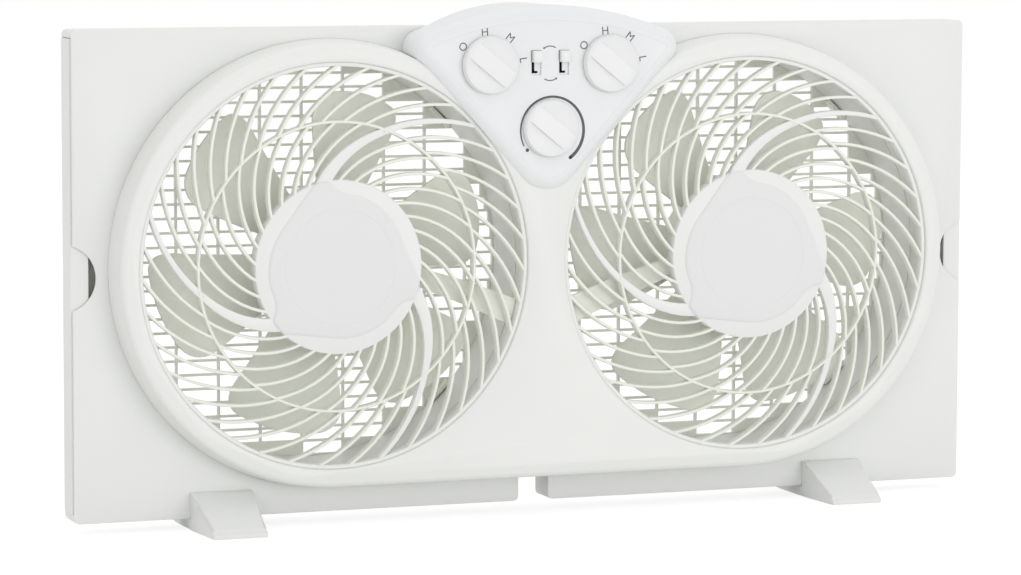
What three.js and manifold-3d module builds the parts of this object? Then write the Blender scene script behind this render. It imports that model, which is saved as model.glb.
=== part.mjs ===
// Twin window fan: two 9-inch fans in one white moulded body, a shield-shaped control panel at
// the top centre, two side panels with pull-out pleated extenders and two clip-on feet.
// Millimetres. X to the right, Y to the back (the fronts face -Y), Z up; the feet stand on Z = 0.
import * as THREE from 'three';
import { mergeVertices } from 'three/addons/utils/BufferGeometryUtils.js';
import Module from 'manifold-3d';

const wasm = await Module();
wasm.setup();

// ---------- driving dimensions ----------
const GAP = 0.3; // seam between pieces that touch

// body and side panels
const FOOT_LIFT = 7; // underside of the body above the floor
const END_MARGIN = 27.9; // from the fan cut-out to the end of the body
const BOTTOM_STRIP = 21.6; // height of the strip under the fan cut-out
const TOP_STRIP = 12.7;
const PANEL_T = 23; // side panel thickness
const SKIN = 2.2; // moulded wall
const CORNER_R = 3.5;
const CENTRE_SLIT = 20; // bare gap between the two bottom strips
const STRIP_END = 62.5; // inner end of each top strip
const TOP_WALL = 5;
const BOTTOM_WALL = 5.5;
const CUTOUT_MARGIN = 7.7; // from an air opening to the cut-out in the panels

// fans
const MOUTH_R = 125.3; // air opening
const MOUTH_SPACE = 24.6; // between the two air openings
const RIM_FLAT = 7.5; // flat rim round each air opening
const RIM_ROUND = 3.8; // rounded edge outside it
const RIM_DRAFT = 2.4; // the raised front housing widens towards the panels
const RIM_Y = -34.4; // front face of the rim
const ROUND = 44; // facets of the large circles

// front grille
const RING_T = 2.1;
const RING_DEEP = 10.4;
const RING_RECESS = 2;
const MID_RING_R = 89;
const MID_RING_T = 1.9;
const HUB_R = 53.8;
const HUB_FRONT = -37.4;
const HUB_RAISE = 1.4; // raised swirl on the hub
const SWIRL_R = 43.5;
const HUB_SKIRT = 8;
const VANE_T = 1.9;
const VANE_DEEP = 5.5;
const VANE_STEP = 0.4; // the vanes lie this much behind the hub face
const DOME_DROP = 4.6; // the rim lies this much behind the hub
const OUTER_VANES = 39;
const INNER_VANES = 33;
const SPOKES = 3;
const SPOKE_ANGLE = 69; // first spoke at the middle ring, degrees from +X
const OUTER_SWEEP = 0.75; // degrees of sweep for each millimetre of radius
const INNER_SWEEP = 0.87;

// rear housing and grille
const REAR_WALL = 3.7; // from the air opening to the outside of the rear housing
const REAR_Y = 28.3;
const FLANGE_LAP = 4; // the flange laps this far over the panels
const REAR_PLATE_T = 2.4;
const REAR_PLATE_INSET = 0.4;
const SLAT_PITCH = 9;
const SLAT_T = 1.9;
const RIB_PITCH = 51.6;
const END_STEP = 25.8; // slot ends step along the circle
const RIB_T = 2.4;
const SLOT_MARGIN = 4.8; // solid edge of the rear grille inside the tunnel

// motors and blades
const MOTOR_R = 35.5;
const MOTOR_BACK = -10;
const MOTOR_FLANGE_R = 48;
const MOTOR_FLANGE_Y = -25.7;
const SHAFT_R = 3;
const BLADES = 6;
const TIP_GAP = 10.8; // from the blade tips to the tunnel wall
const BLADE_PITCH = 25; // degrees
const BLADE_T = 1.8;
const BLADE_HUB_R = 42;
const BLADE_HUB_FRONT = -15;
const BLADE_HUB_BACK = 14;
const LEFT_PHASE = 15.5;
const RIGHT_PHASE = 2;

// controls
const PANEL_FRONT = -38;
const PANEL_WALL = 2.4;
const PANEL_RISE = 13.1; // the panel's arch rises above the body
const PANEL_ARCH_R = 212;
const BOX_ARCH_R = 126; // rear box, same apex height
const BOX_HALF = 60;
const KNOB_R = 18;
const KNOB_FRONT = -43.6;
const SPEED_X = 40;
const SPEED_DROP = 36.4; // below the top of the panel's arch
const THERMO_DROP = 76;
const STEM_R = 3.2;
const GRIP_ANGLE = 141; // grips point to the upper left
const SWITCH_DEEP = 14;
const SLIDE_X = 9.2;
const SLIDE_DROP = 35.4;
const SLIDE_SLOT_W = 7;
const SLIDE_SLOT_H = 15.5;
const SLIDE_KEY_H = 7.2;

// extenders
const RAIL_PROUD = 1; // the closed rail stands this far out of the body's end
const RAIL_W = 8.8;
const RAIL_HALF_Y = 9;
const RAIL_WALL = 2.2;
const ARM_TOP_END = 80;
const ARM_LOW_END = 25;
const NOTCH_R = 20.6;
const NOTCH_OUT = 6.1; // the notch circle is centred this far outside the edge
const NOTCH_Z = 157;
const SCREEN_HALF_Y = 6.5;

// feet
const FOOT_X = 206;
const FOOT_W = 39;
const FOOT_H = 23;
const FOOT_REACH = 54.5;

// screws
const SCREW_R = 1.6;
const SCREW_HEAD_R = 3.2;
const SCREW_HEAD_T = 2.2;

// ---------- derived sizes ----------
const fanX = MOUTH_R + MOUTH_SPACE / 2;
const cutoutR = MOUTH_R + CUTOUT_MARGIN;
const halfW = fanX + cutoutR + END_MARGIN; // closed width 597, 23.5 in
const bottomZ = FOOT_LIFT;
const fanZ = bottomZ + BOTTOM_STRIP + cutoutR;
const topZ = fanZ + cutoutR + TOP_STRIP;
const flatR = MOUTH_R + RIM_FLAT;
const rimR = flatR + RIM_ROUND; // raised front housing near its face
const baseR = rimR + RIM_DRAFT; // and at the panels
const rearWallR = MOUTH_R + REAR_WALL;
const flangeR = cutoutR + FLANGE_LAP;
const rearPlateR = rearWallR - REAR_PLATE_INSET;
const slotLimitR = MOUTH_R - SLOT_MARGIN;
const bladeR = MOUTH_R - TIP_GAP;
const panelTop = topZ + PANEL_RISE;
const speedZ = panelTop - SPEED_DROP;
const thermoZ = panelTop - THERMO_DROP;
const slideZ = panelTop - SLIDE_DROP;
const railOut = halfW + RAIL_PROUD;
const railIn = railOut - RAIL_W;
const faceY = PANEL_T / 2;
const skinIn = faceY - SKIN;
const ringOutR = MOUTH_R - 2 * GAP; // clear of the flats of the mouth
const ringInR = ringOutR - RING_T;
const ringFront = RIM_Y + RING_RECESS;
const ringBack = ringFront + RING_DEEP;
const hubBack = HUB_FRONT + SKIN;
const screwHole = SCREW_R + GAP;
const stemHole = STEM_R + GAP;
const stripLowZ = fanZ - cutoutR;
const stripTopZ = fanZ + cutoutR;
const switchFront = PANEL_FRONT + PANEL_WALL + GAP;
const glandZ = fanZ - 99.6;
const bossR = flatR + 4.7; // the outer bosses stand beside the mouths at this angle
const bossX = fanX - bossR * Math.cos(THREE.MathUtils.degToRad(58.6));
const bossRise = bossR * Math.sin(THREE.MathUtils.degToRad(58.6));
const BOSSES = [[-bossX, fanZ + bossRise], [bossX, fanZ + bossRise], [-bossX, fanZ - bossRise],
  [bossX, fanZ - bossRise], [0, fanZ - 56.6], [0, fanZ + 46.4]];

// ---------- materials ----------
const plastic = (color, roughness = 0.42) =>
  new THREE.MeshStandardMaterial({ color, roughness, metalness: 0 });
const metal = (color, roughness = 0.35) =>
  new THREE.MeshStandardMaterial({ color, roughness, metalness: 1 });
const shellWhite = plastic(0xe6e7e3);
const panelWhite = plastic(0xe3e4e0);
const grilleWhite = plastic(0xe9ebe2);
const controlWhite = plastic(0xe4e6e6);
const bladeWhite = plastic(0xd6d8d2, 0.5);
const screenGrey = plastic(0xc9c9c2, 0.75);
const innerGrey = plastic(0xb9bbb4, 0.6);
const blackPlastic = plastic(0x2b2b2d, 0.5);
const steel = metal(0xb9bcc0);
const zinc = metal(0xa7a9ad, 0.45);

// ---------- solids ----------
const rad = THREE.MathUtils.degToRad;

function solid(geometry) {
  const bare = geometry.clone();
  bare.deleteAttribute('normal');
  bare.deleteAttribute('uv');
  const merged = mergeVertices(bare, 1e-4);
  const pos = merged.attributes.position.array;
  const idx = merged.index.array;
  const tris = [];
  let volume = 0;
  for (let i = 0; i < idx.length; i += 3) {
    const [a, b, c] = [idx[i], idx[i + 1], idx[i + 2]];
    if (a === b || b === c || a === c) continue;
    tris.push(a, b, c);
    const [ax, ay, az] = pos.slice(3 * a, 3 * a + 3);
    const [bx, by, bz] = pos.slice(3 * b, 3 * b + 3);
    const [cx, cy, cz] = pos.slice(3 * c, 3 * c + 3);
    volume += ax * (by * cz - bz * cy) + ay * (bz * cx - bx * cz) + az * (bx * cy - by * cx);
  }
  if (volume < 0) {
    for (let i = 0; i < tris.length; i += 3) {
      const keep = tris[i];
      tris[i] = tris[i + 1];
      tris[i + 1] = keep;
    }
  }
  const mesh = new wasm.Mesh({
    numProp: 3,
    vertProperties: new Float32Array(pos),
    triVerts: new Uint32Array(tris),
  });
  return new wasm.Manifold(mesh);
}

// outline drawn in X and Z, from the front face y0 back to y1
function slab(shape, y0, y1, curve = 12, bevel = null) {
  const options = { depth: y1 - y0, bevelEnabled: false, curveSegments: curve };
  if (bevel) {
    options.depth = y1 - y0 - 2 * bevel.deep;
    options.bevelEnabled = true;
    options.bevelThickness = bevel.deep;
    options.bevelSize = bevel.size;
    options.bevelOffset = -bevel.size;
    options.bevelSegments = bevel.steps ?? 2;
  }
  const g = new THREE.ExtrudeGeometry(shape, options);
  if (bevel) g.translate(0, 0, bevel.deep);
  g.rotateX(Math.PI / 2);
  g.translate(0, y1, 0);
  return solid(g);
}

// outline drawn in Y and Z, from x0 to x1
function bar(points, x0, x1) {
  const g = new THREE.ExtrudeGeometry(polygon(points), { depth: x1 - x0, bevelEnabled: false });
  g.rotateX(Math.PI / 2);
  g.rotateZ(Math.PI / 2);
  g.translate(x0, 0, 0);
  return solid(g);
}

function box(x0, x1, y0, y1, z0, z1) {
  const g = new THREE.BoxGeometry(x1 - x0, y1 - y0, z1 - z0);
  g.translate((x0 + x1) / 2, (y0 + y1) / 2, (z0 + z1) / 2);
  return solid(g);
}

// turned about Y through (x, z); each profile point is radius, y
function turned(profile, x, z, facets = ROUND, start = 0) {
  const points = profile.map(([r, y]) => new THREE.Vector2(r, y));
  if (profile[0][0] !== 0 || profile[profile.length - 1][0] !== 0) points.push(points[0].clone());
  const g = new THREE.LatheGeometry(points, facets);
  // the first facet edge points "start" degrees from +X
  g.rotateY(rad(90 - start));
  g.translate(x, 0, z);
  return solid(g);
}

function disc(x, z, r, y0, y1, facets = ROUND) {
  return turned([[0, y0], [r, y0], [r, y1], [0, y1]], x, z, facets);
}

function ring(x, z, r0, r1, y0, y1, facets = ROUND, start = 0) {
  return turned([[r0, y0], [r1, y0], [r1, y1], [r0, y1]], x, z, facets, start);
}

function polygon(points) {
  const s = new THREE.Shape();
  points.forEach(([x, z], i) => (i ? s.lineTo(x, z) : s.moveTo(x, z)));
  s.closePath();
  return s;
}

function circle(r) {
  const points = [];
  for (let i = 0; i < ROUND; i += 1) {
    const a = (2 * Math.PI * i) / ROUND;
    points.push([r * Math.cos(a), r * Math.sin(a)]);
  }
  return polygon(points);
}

function rectangle(x0, x1, z0, z1, r = 0) {
  if (!r) return polygon([[x0, z0], [x1, z0], [x1, z1], [x0, z1]]);
  const s = new THREE.Shape();
  s.moveTo(x0 + r, z0);
  s.lineTo(x1 - r, z0);
  s.absarc(x1 - r, z0 + r, r, -Math.PI / 2, 0);
  s.lineTo(x1, z1 - r);
  s.absarc(x1 - r, z1 - r, r, 0, Math.PI / 2);
  s.lineTo(x0 + r, z1);
  s.absarc(x0 + r, z1 - r, r, Math.PI / 2, Math.PI);
  s.lineTo(x0, z0 + r);
  s.absarc(x0 + r, z0 + r, r, Math.PI, 1.5 * Math.PI);
  return s;
}

// both fan circles and the straight stretch between them, with one edge profile
function twinBody(profile) {
  const inner = [...profile].reverse().map(([r, y]) => [y, fanZ - r]);
  const outer = profile.map(([r, y]) => [y, fanZ + r]);
  const middle = profile[0][0] === 0 ? [...outer, ...inner.slice(1, -1)] : [...outer, ...inner];
  return turned(profile, -fanX, fanZ)
    .add(turned(profile, fanX, fanZ))
    .add(bar(middle, -fanX, fanX));
}

function mesh(name, body, material) {
  const raw = body.getMesh();
  const g = new THREE.BufferGeometry();
  g.setAttribute('position', new THREE.BufferAttribute(new Float32Array(raw.vertProperties), 3));
  g.setIndex(new THREE.BufferAttribute(new Uint32Array(raw.triVerts), 1));
  const flat = g.toNonIndexed();
  flat.computeVertexNormals();
  const m = new THREE.Mesh(flat, material);
  m.name = name;
  return m;
}

function mirrored(body) {
  return body.mirror([1, 0, 0]);
}

// ---------- outlines ----------
// the shield-shaped control panel, drawn "inset" inside its true edge
function shield(inset = 0) {
  const archZ = panelTop - PANEL_ARCH_R;
  const r = PANEL_ARCH_R - inset;
  const x = 77 - inset * 0.9;
  const a = Math.acos(x / r);
  const z = archZ + r * Math.sin(a);
  const s = new THREE.Shape();
  const tipZ = panelTop - 116.4 + inset;
  const flankLow = panelTop - 108.4 + inset * 0.45;
  const flankTop = panelTop - 36.4 - inset * 0.25;
  const shoulderZ = panelTop - 21 - inset * 0.75;
  const outX = 92 - inset * 1.1;
  const outZ = panelTop - 27.4 - inset * 0.4;
  const turnX = 83.6 - inset * 0.95;
  const turnZ = panelTop - 16.8 - inset;
  s.moveTo(0, tipZ);
  s.quadraticCurveTo(12 - inset * 0.4, tipZ, 19 - inset * 0.62, flankLow);
  s.lineTo(84 - inset * 1.02, flankTop);
  s.quadraticCurveTo(outX, outZ, 87 - inset, shoulderZ);
  s.quadraticCurveTo(turnX, turnZ, x, z);
  s.absarc(0, archZ, r, a, Math.PI - a);
  s.quadraticCurveTo(-turnX, turnZ, -87 + inset, shoulderZ);
  s.quadraticCurveTo(-outX, outZ, -84 + inset * 1.02, flankTop);
  s.lineTo(-19 + inset * 0.62, flankLow);
  s.quadraticCurveTo(-12 + inset * 0.4, tipZ, 0, tipZ);
  return s;
}

// ---------- front housing ----------
const outerProfile = [[0, RIM_Y], [flatR, RIM_Y], [rimR - 1.4, RIM_Y + 0.9], [rimR, RIM_Y + 3],
  [baseR, -faceY - GAP], [0, -faceY - GAP]];
const innerProfile = [[0, RIM_Y + SKIN], [flatR - 0.4, RIM_Y + SKIN], [rimR - SKIN, RIM_Y + 3.6],
  [baseR - SKIN, -faceY], [0, -faceY]];

function frontHousing() {
  let body = twinBody(outerProfile).subtract(twinBody(innerProfile));
  for (const x of [-fanX, fanX]) {
    const tunnel = ring(x, fanZ, MOUTH_R - 0.5, MOUTH_R + SKIN, RIM_Y + 1, -faceY - GAP);
    body = body.add(tunnel);
  }
  for (const [x, z] of BOSSES) body = body.add(disc(x, z, 4.6, RIM_Y + 1, -faceY - GAP, 8));
  for (const x of [-fanX, fanX]) {
    body = body.subtract(disc(x, fanZ, MOUTH_R, RIM_Y - 1, -faceY + 1));
    // stop ledge behind the grille ring
    const ledge = ring(x, fanZ, ringInR, MOUTH_R + 1, ringBack + GAP, ringBack + GAP + 2);
    body = body.add(ledge);
  }
  for (const [x, z] of BOSSES) {
    body = body.subtract(disc(x, z, screwHole, RIM_Y + SKIN + 1.5, -faceY + 1, 8));
  }
  // opening behind the control panel for the switch bodies
  const [top, low, neck, foot] = [speedZ + 12.5, speedZ - 16, speedZ - 22, thermoZ - 17.4];
  const window = polygon([[-57, top], [-57, low], [-18, neck], [-18, foot], [18, foot], [18, neck],
    [57, low], [57, top]]);
  return body.subtract(slab(window, RIM_Y - 1, RIM_Y + SKIN + 1));
}

// ---------- side panels ----------
function sidePanelOutline() {
  const r = CORNER_R;
  const c = r * (1 - Math.SQRT1_2);
  const slit = -CENTRE_SLIT / 2;
  const points = [[-halfW + r, bottomZ], [slit - r, bottomZ], [slit - c, bottomZ + c],
    [slit, bottomZ + r], [slit, stripLowZ]];
  for (let i = 0; i <= ROUND / 2; i += 1) {
    const a = -Math.PI / 2 - (2 * Math.PI * i) / ROUND;
    points.push([-fanX + cutoutR * Math.cos(a), fanZ + cutoutR * Math.sin(a)]);
  }
  points.push([-STRIP_END, stripTopZ], [-STRIP_END, topZ], [-halfW + r, topZ],
    [-halfW + c, topZ - c], [-halfW, topZ - r], [-halfW, bottomZ + r],
    [-halfW + c, bottomZ + c]);
  return polygon(points);
}

const ribX = fanX + cutoutR; // inner rib that holds the folded screen

function sidePanel() {
  const shell = slab(sidePanelOutline(), -faceY, faceY);
  const inside = box(-halfW - 1, -CENTRE_SLIT / 2 - SKIN, -skinIn, skinIn,
    bottomZ + BOTTOM_WALL, topZ - TOP_WALL)
    .subtract(box(-STRIP_END - SKIN, 0, -20, 20, stripTopZ - 5, topZ));
  const rib = box(-ribX - 1.6, -ribX - 0.2, -skinIn - 0.5, skinIn + 0.5, stripLowZ + 0.6,
    stripTopZ - 0.6);
  const notch = disc(-halfW - NOTCH_OUT, NOTCH_Z, NOTCH_R, -faceY - 1, -skinIn + 0.5, 36);
  return shell.subtract(inside).add(rib).subtract(notch);
}

// ---------- extenders ----------
const railLow = bottomZ + BOTTOM_WALL + GAP;
const railTop = topZ - TOP_WALL - GAP;

function extender() {
  const rail = box(-railOut, -railIn, -RAIL_HALF_Y, RAIL_HALF_Y, railLow, railTop);
  const hollow = box(-railOut + RAIL_WALL, -railIn + 1, -RAIL_HALF_Y + 2, RAIL_HALF_Y - 2,
    stripLowZ - GAP, stripTopZ + 0.6);
  const upper = box(-railIn - 1, -ARM_TOP_END, -RAIL_HALF_Y, RAIL_HALF_Y, stripTopZ + 0.6,
    railTop);
  const lower = box(-railIn - 1, -ARM_LOW_END, -RAIL_HALF_Y, RAIL_HALF_Y, railLow,
    stripLowZ - GAP);
  const upperHollow = box(-railIn + 3, -ARM_TOP_END + 1, -RAIL_HALF_Y + 2, RAIL_HALF_Y - 2,
    stripTopZ - 1, railTop - 2);
  const lowerHollow = box(-railIn + 3, -ARM_LOW_END + 1, -RAIL_HALF_Y + 2, RAIL_HALF_Y - 2,
    railLow + 2, stripLowZ + 1);
  return rail.subtract(hollow).add(upper).add(lower).subtract(upperHollow).subtract(lowerHollow);
}

// folded accordion screen between the rail and the inner rib
function pleatedScreen() {
  return box(-railOut + RAIL_WALL + GAP, -ribX - 1.6 - GAP, -SCREEN_HALF_Y, SCREEN_HALF_Y,
    stripLowZ + 0.9, stripTopZ - 0.9);
}

// ---------- front grille ----------
const dome = (r) => {
  const t = (r - HUB_R) / (MOUTH_R - HUB_R);
  return DOME_DROP * Math.max(0, t) ** 1.6;
};

const sweepAt = (r) => (r > MID_RING_R
  ? -OUTER_SWEEP * (r - MID_RING_R)
  : INNER_SWEEP * (MID_RING_R - r));

// one spiral vane between two radii, lifted over the dome of the grille
function vane(angle, r0, r1, widthAt) {
  const steps = 2;
  const left = [];
  const right = [];
  for (let i = 0; i <= steps; i += 1) {
    const r = r0 + ((r1 - r0) * i) / steps;
    const a = rad(angle + sweepAt(r));
    const slope = rad(r > MID_RING_R ? -OUTER_SWEEP : -INNER_SWEEP) * r;
    const len = Math.hypot(1, slope);
    const w = widthAt(r) / 2;
    // unit normal of the spiral in the plane of the grille
    const nx = (-Math.sin(a) - slope * Math.cos(a)) / len;
    const nz = (Math.cos(a) - slope * Math.sin(a)) / len;
    left.push([r * Math.cos(a) + nx * w, r * Math.sin(a) + nz * w]);
    right.unshift([r * Math.cos(a) - nx * w, r * Math.sin(a) - nz * w]);
  }
  const g = new THREE.ExtrudeGeometry(polygon([...left, ...right]), {
    depth: VANE_DEEP,
    bevelEnabled: false,
  });
  g.rotateX(Math.PI / 2);
  g.translate(0, HUB_FRONT + VANE_STEP + VANE_DEEP, 0);
  const p = g.attributes.position;
  for (let i = 0; i < p.count; i += 1) {
    p.setY(i, p.getY(i) + dome(Math.hypot(p.getX(i), p.getZ(i))));
  }
  return solid(g);
}

// raised three-armed swirl that runs out into the spokes
function swirl() {
  const s = new THREE.Shape();
  const at = (deg, r) => [r * Math.cos(rad(deg)), r * Math.sin(rad(deg))];
  const points = [];
  for (let k = SPOKES - 1; k >= 0; k -= 1) {
    const base = SPOKE_ANGLE + (360 / SPOKES) * k;
    // round the disc clockwise, leave it along the arm, come back by the hook
    for (const d of [118, 104, 90, 76]) points.push(at(base + d - 13, SWIRL_R));
    points.push(at(base + 53, SWIRL_R + 1.2));
    points.push(at(base + 45, SWIRL_R + 4));
    points.push(at(base + 37, HUB_R - 2));
    points.push(at(base + 34.5, HUB_R - 0.6));
    points.push(at(base + 28.5, HUB_R - 0.6));
    points.push(at(base + 26.5, HUB_R - 4));
    points.push(at(base + 25, SWIRL_R + 3));
    points.push(at(base + 21, SWIRL_R + 0.8));
    points.push(at(base + 14, SWIRL_R));
    points.push(at(base - 2, SWIRL_R));
  }
  points.forEach(([x, z], i) => (i ? s.lineTo(x, z) : s.moveTo(x, z)));
  s.closePath();
  return slab(s, HUB_FRONT - HUB_RAISE, HUB_FRONT + 0.5);
}

function frontGrille() {
  const outerStep = 360 / OUTER_VANES;
  const innerStep = 360 / INNER_VANES;
  // every ring has one flat for each vane that meets it
  const rimStart = SPOKE_ANGLE + sweepAt(ringInR) + outerStep / 2;
  const hubStart = SPOKE_ANGLE + sweepAt(HUB_R) + innerStep / 2;
  let body = ring(0, 0, ringInR, ringOutR, ringFront, ringBack, OUTER_VANES, rimStart);
  const midY = HUB_FRONT + dome(MID_RING_R) + VANE_STEP - 0.25;
  const midBack = midY + VANE_DEEP + 0.8;
  const mid = MID_RING_R - MID_RING_T / 2;
  const midOuter = [[0, midY], [mid + MID_RING_T, midY], [mid + MID_RING_T, midBack], [0, midBack]];
  const midInner = [[0, midY - 1], [mid, midY - 1], [mid, midBack + 1], [0, midBack + 1]];
  const parts = [turned(midOuter, 0, 0, OUTER_VANES, SPOKE_ANGLE + outerStep / 2)
    .subtract(turned(midInner, 0, 0, INNER_VANES, SPOKE_ANGLE + innerStep / 2))];
  // hub with its skirt
  parts.push(turned([[0, HUB_FRONT], [HUB_R, HUB_FRONT], [HUB_R, HUB_FRONT + HUB_SKIRT],
    [HUB_R - SKIN, HUB_FRONT + HUB_SKIRT], [HUB_R - SKIN, hubBack], [0, hubBack]],
  0, 0, INNER_VANES, hubStart));
  parts.push(swirl());
  const join = MID_RING_R - 0.3; // vane ends stay inside the middle ring
  const outerEach = OUTER_VANES / SPOKES;
  const innerEach = INNER_VANES / SPOKES;
  for (let k = 0; k < OUTER_VANES; k += 1) {
    const spoke = k % outerEach === 0;
    const width = (r) => (spoke ? 4.2 - 0.05 * (r - MID_RING_R) : VANE_T);
    const from = spoke ? MID_RING_R - 2.4 : join;
    parts.push(vane(SPOKE_ANGLE + k * outerStep, from, ringInR + 0.7, width));
  }
  for (let k = 0; k < INNER_VANES; k += 1) {
    const spoke = k % innerEach === 0;
    const width = (r) => (spoke ? 4.2 + 0.075 * (MID_RING_R - r) : VANE_T);
    const to = spoke ? MID_RING_R - 1.2 : join;
    parts.push(vane(SPOKE_ANGLE + k * innerStep, HUB_R - 1.2, to, width));
  }
  for (const part of parts) body = body.add(part);
  // bosses for the motor screws
  for (const a of [30, 150, 270]) {
    const x = 42 * Math.cos(rad(a));
    const z = 42 * Math.sin(rad(a));
    body = body.add(disc(x, z, 4.2, hubBack - 0.5, MOTOR_FLANGE_Y - GAP, 8));
    body = body.subtract(disc(x, z, screwHole, hubBack + 1, MOTOR_FLANGE_Y + 1, 8));
  }
  return body;
}

// flat channel that carries the motor leads from the hub to the centre of the body
function wireChannel() {
  const end = MOUTH_R - 1.8;
  const shape = polygon([[49.6, -1], [49.6, -13], [84, -26.5], [end, -44], [end, -26],
    [88, -12.5]]);
  const back = ringBack - 2;
  const front = ringFront + VANE_DEEP + GAP;
  const limit = disc(0, 0, ringInR - GAP, front - 1, back + 1);
  const inside = polygon([[40, -3], [40, -11.6], [83, -24.6], [end + 16.5, -50], [end + 16.5, -31.4],
    [88, -14.6]]);
  const seat = slab(polygon([[49.6, -2], [49.6, -12], [53, -12.6], [53, -2]]),
    HUB_FRONT + HUB_SKIRT + GAP, front + 1);
  const keepOut = disc(0, 0, HUB_R - SKIN + 0.2, HUB_FRONT, front - 0.2);
  return slab(shape, front, back)
    .intersect(limit)
    .subtract(slab(inside, front + 1.6, back + 1))
    .add(seat.subtract(keepOut));
}

// ---------- motor, shaft and blades ----------
function motor() {
  const front = hubBack + GAP;
  let body = turned([[0, front], [24, front], [29, front + 2.5], [29, MOTOR_FLANGE_Y],
    [MOTOR_FLANGE_R, MOTOR_FLANGE_Y], [MOTOR_FLANGE_R, MOTOR_FLANGE_Y + 2],
    [MOTOR_R, MOTOR_FLANGE_Y + 2], [MOTOR_R, MOTOR_BACK - 3], [MOTOR_R - 4, MOTOR_BACK], [11, MOTOR_BACK],
    [9, MOTOR_BACK + 4], [0, MOTOR_BACK + 4]], 0, 0, 20);
  body = body.subtract(disc(0, 0, SHAFT_R + GAP, MOTOR_BACK - 9, MOTOR_BACK + 5, 10));
  for (const a of [30, 150, 270]) {
    const x = 42 * Math.cos(rad(a));
    const z = 42 * Math.sin(rad(a));
    body = body.subtract(disc(x, z, screwHole, MOTOR_FLANGE_Y - 1, MOTOR_FLANGE_Y + 3, 8));
  }
  return body;
}

function motorShaft() {
  return disc(0, 0, SHAFT_R, MOTOR_BACK - 8.7, BLADE_HUB_BACK + 6, 10);
}

function blades(phase) {
  const wall = 2;
  let body = turned([[SHAFT_R + GAP, BLADE_HUB_BACK - 14], [9, BLADE_HUB_BACK - 14],
    [9, BLADE_HUB_BACK - wall], [BLADE_HUB_R - wall - 3, BLADE_HUB_BACK - wall],
    [BLADE_HUB_R - wall, BLADE_HUB_BACK - wall - 3], [BLADE_HUB_R - wall, BLADE_HUB_FRONT],
    [BLADE_HUB_R, BLADE_HUB_FRONT], [BLADE_HUB_R, BLADE_HUB_BACK - 4],
    [BLADE_HUB_R - 4, BLADE_HUB_BACK], [SHAFT_R + GAP, BLADE_HUB_BACK]], 0, 0, 20);
  // a blade is a thin cambered plate, set at its pitch and trimmed to its plan outline
  const chord = 88;
  const camber = 5;
  const section = new THREE.Shape();
  const under = [];
  const over = [];
  for (let i = 0; i <= 3; i += 1) {
    const t = i / 3;
    const x = (t - 0.5) * chord;
    const y = -camber * 4 * t * (1 - t);
    under.push([x, y]);
    over.unshift([x, y + BLADE_T]);
  }
  [...under, ...over].forEach(([x, y], i) => (i ? section.lineTo(x, y) : section.moveTo(x, y)));
  section.closePath();
  const root = BLADE_HUB_R - 8;
  const plate = new THREE.ExtrudeGeometry(section, { depth: bladeR + 9.5 - root, bevelEnabled: false });
  plate.translate(0, camber * 0.6, 0);
  plate.rotateZ(rad(BLADE_PITCH));
  plate.translate(0, BLADE_HUB_FRONT + 15, root);
  const outline = new THREE.Shape();
  outline.moveTo(-13, root + 4);
  outline.lineTo(16, root + 4);
  outline.quadraticCurveTo(23, bladeR - 48.5, 30, bladeR - 26.5);
  outline.quadraticCurveTo(35, bladeR - 10.5, 26, bladeR - 3.5);
  outline.quadraticCurveTo(4, bladeR + 3.5, -18, bladeR - 2.5);
  outline.quadraticCurveTo(-33, bladeR - 8.5, -32, bladeR - 24.5);
  outline.quadraticCurveTo(-24, bladeR - 52.5, -13, root + 4);
  const one = solid(plate).intersect(slab(outline, -30, 30, 2));
  for (let k = 0; k < BLADES; k += 1) {
    const turn = -(phase - 90 + (360 / BLADES) * k);
    body = body.add(one.rotate([0, turn, 0]));
  }
  const bore = disc(0, 0, BLADE_HUB_R - wall, BLADE_HUB_FRONT - 20, BLADE_HUB_BACK - wall - 3, 20)
    .subtract(disc(0, 0, 9, BLADE_HUB_FRONT - 30, BLADE_HUB_BACK, 20));
  return body.subtract(bore);
}

function bladeNut() {
  return turned([[SHAFT_R + GAP, BLADE_HUB_BACK + GAP], [7.5, BLADE_HUB_BACK + GAP],
    [7.5, BLADE_HUB_BACK + 4], [6, BLADE_HUB_BACK + 5.5], [SHAFT_R + GAP, BLADE_HUB_BACK + 5.5]],
  0, 0, 10);
}

// ---------- rear housing and grilles ----------
function rearHousing() {
  const front = -faceY + 0.7;
  const wall = (r, y0, y1) => twinBody([[0, y0], [r, y0], [r, y1], [0, y1]]);
  let body = wall(rearWallR, front, REAR_Y).add(wall(flangeR, faceY + GAP, faceY + GAP + SKIN));
  body = body.subtract(wall(rearWallR - SKIN, front - 1, REAR_Y - SKIN));
  for (const x of [-fanX, fanX]) {
    body = body.add(ring(x, fanZ, MOUTH_R - 0.5, MOUTH_R + 1.8, front, REAR_Y));
  }
  // the flange stops at both sides of the control box
  body = body.subtract(box(-BOX_HALF - GAP, BOX_HALF + GAP, faceY, faceY + SKIN + 1,
    fanZ + rearWallR, topZ));
  for (const [x, z] of BOSSES) body = body.add(disc(x, z, 5.6, -faceY, REAR_Y, 10));
  for (const x of [-fanX, fanX]) {
    body = body.subtract(disc(x, fanZ, MOUTH_R, front - 2, REAR_Y + 2));
  }
  for (const [x, z] of BOSSES) {
    body = body.subtract(disc(x, z, SCREW_HEAD_R + 0.6, -2, REAR_Y + 1, 8));
    body = body.subtract(disc(x, z, screwHole, -faceY - 1, 0, 8));
  }
  return body.subtract(disc(0, glandZ, 6.5, REAR_Y - 4, REAR_Y + 1, 12));
}

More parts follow.
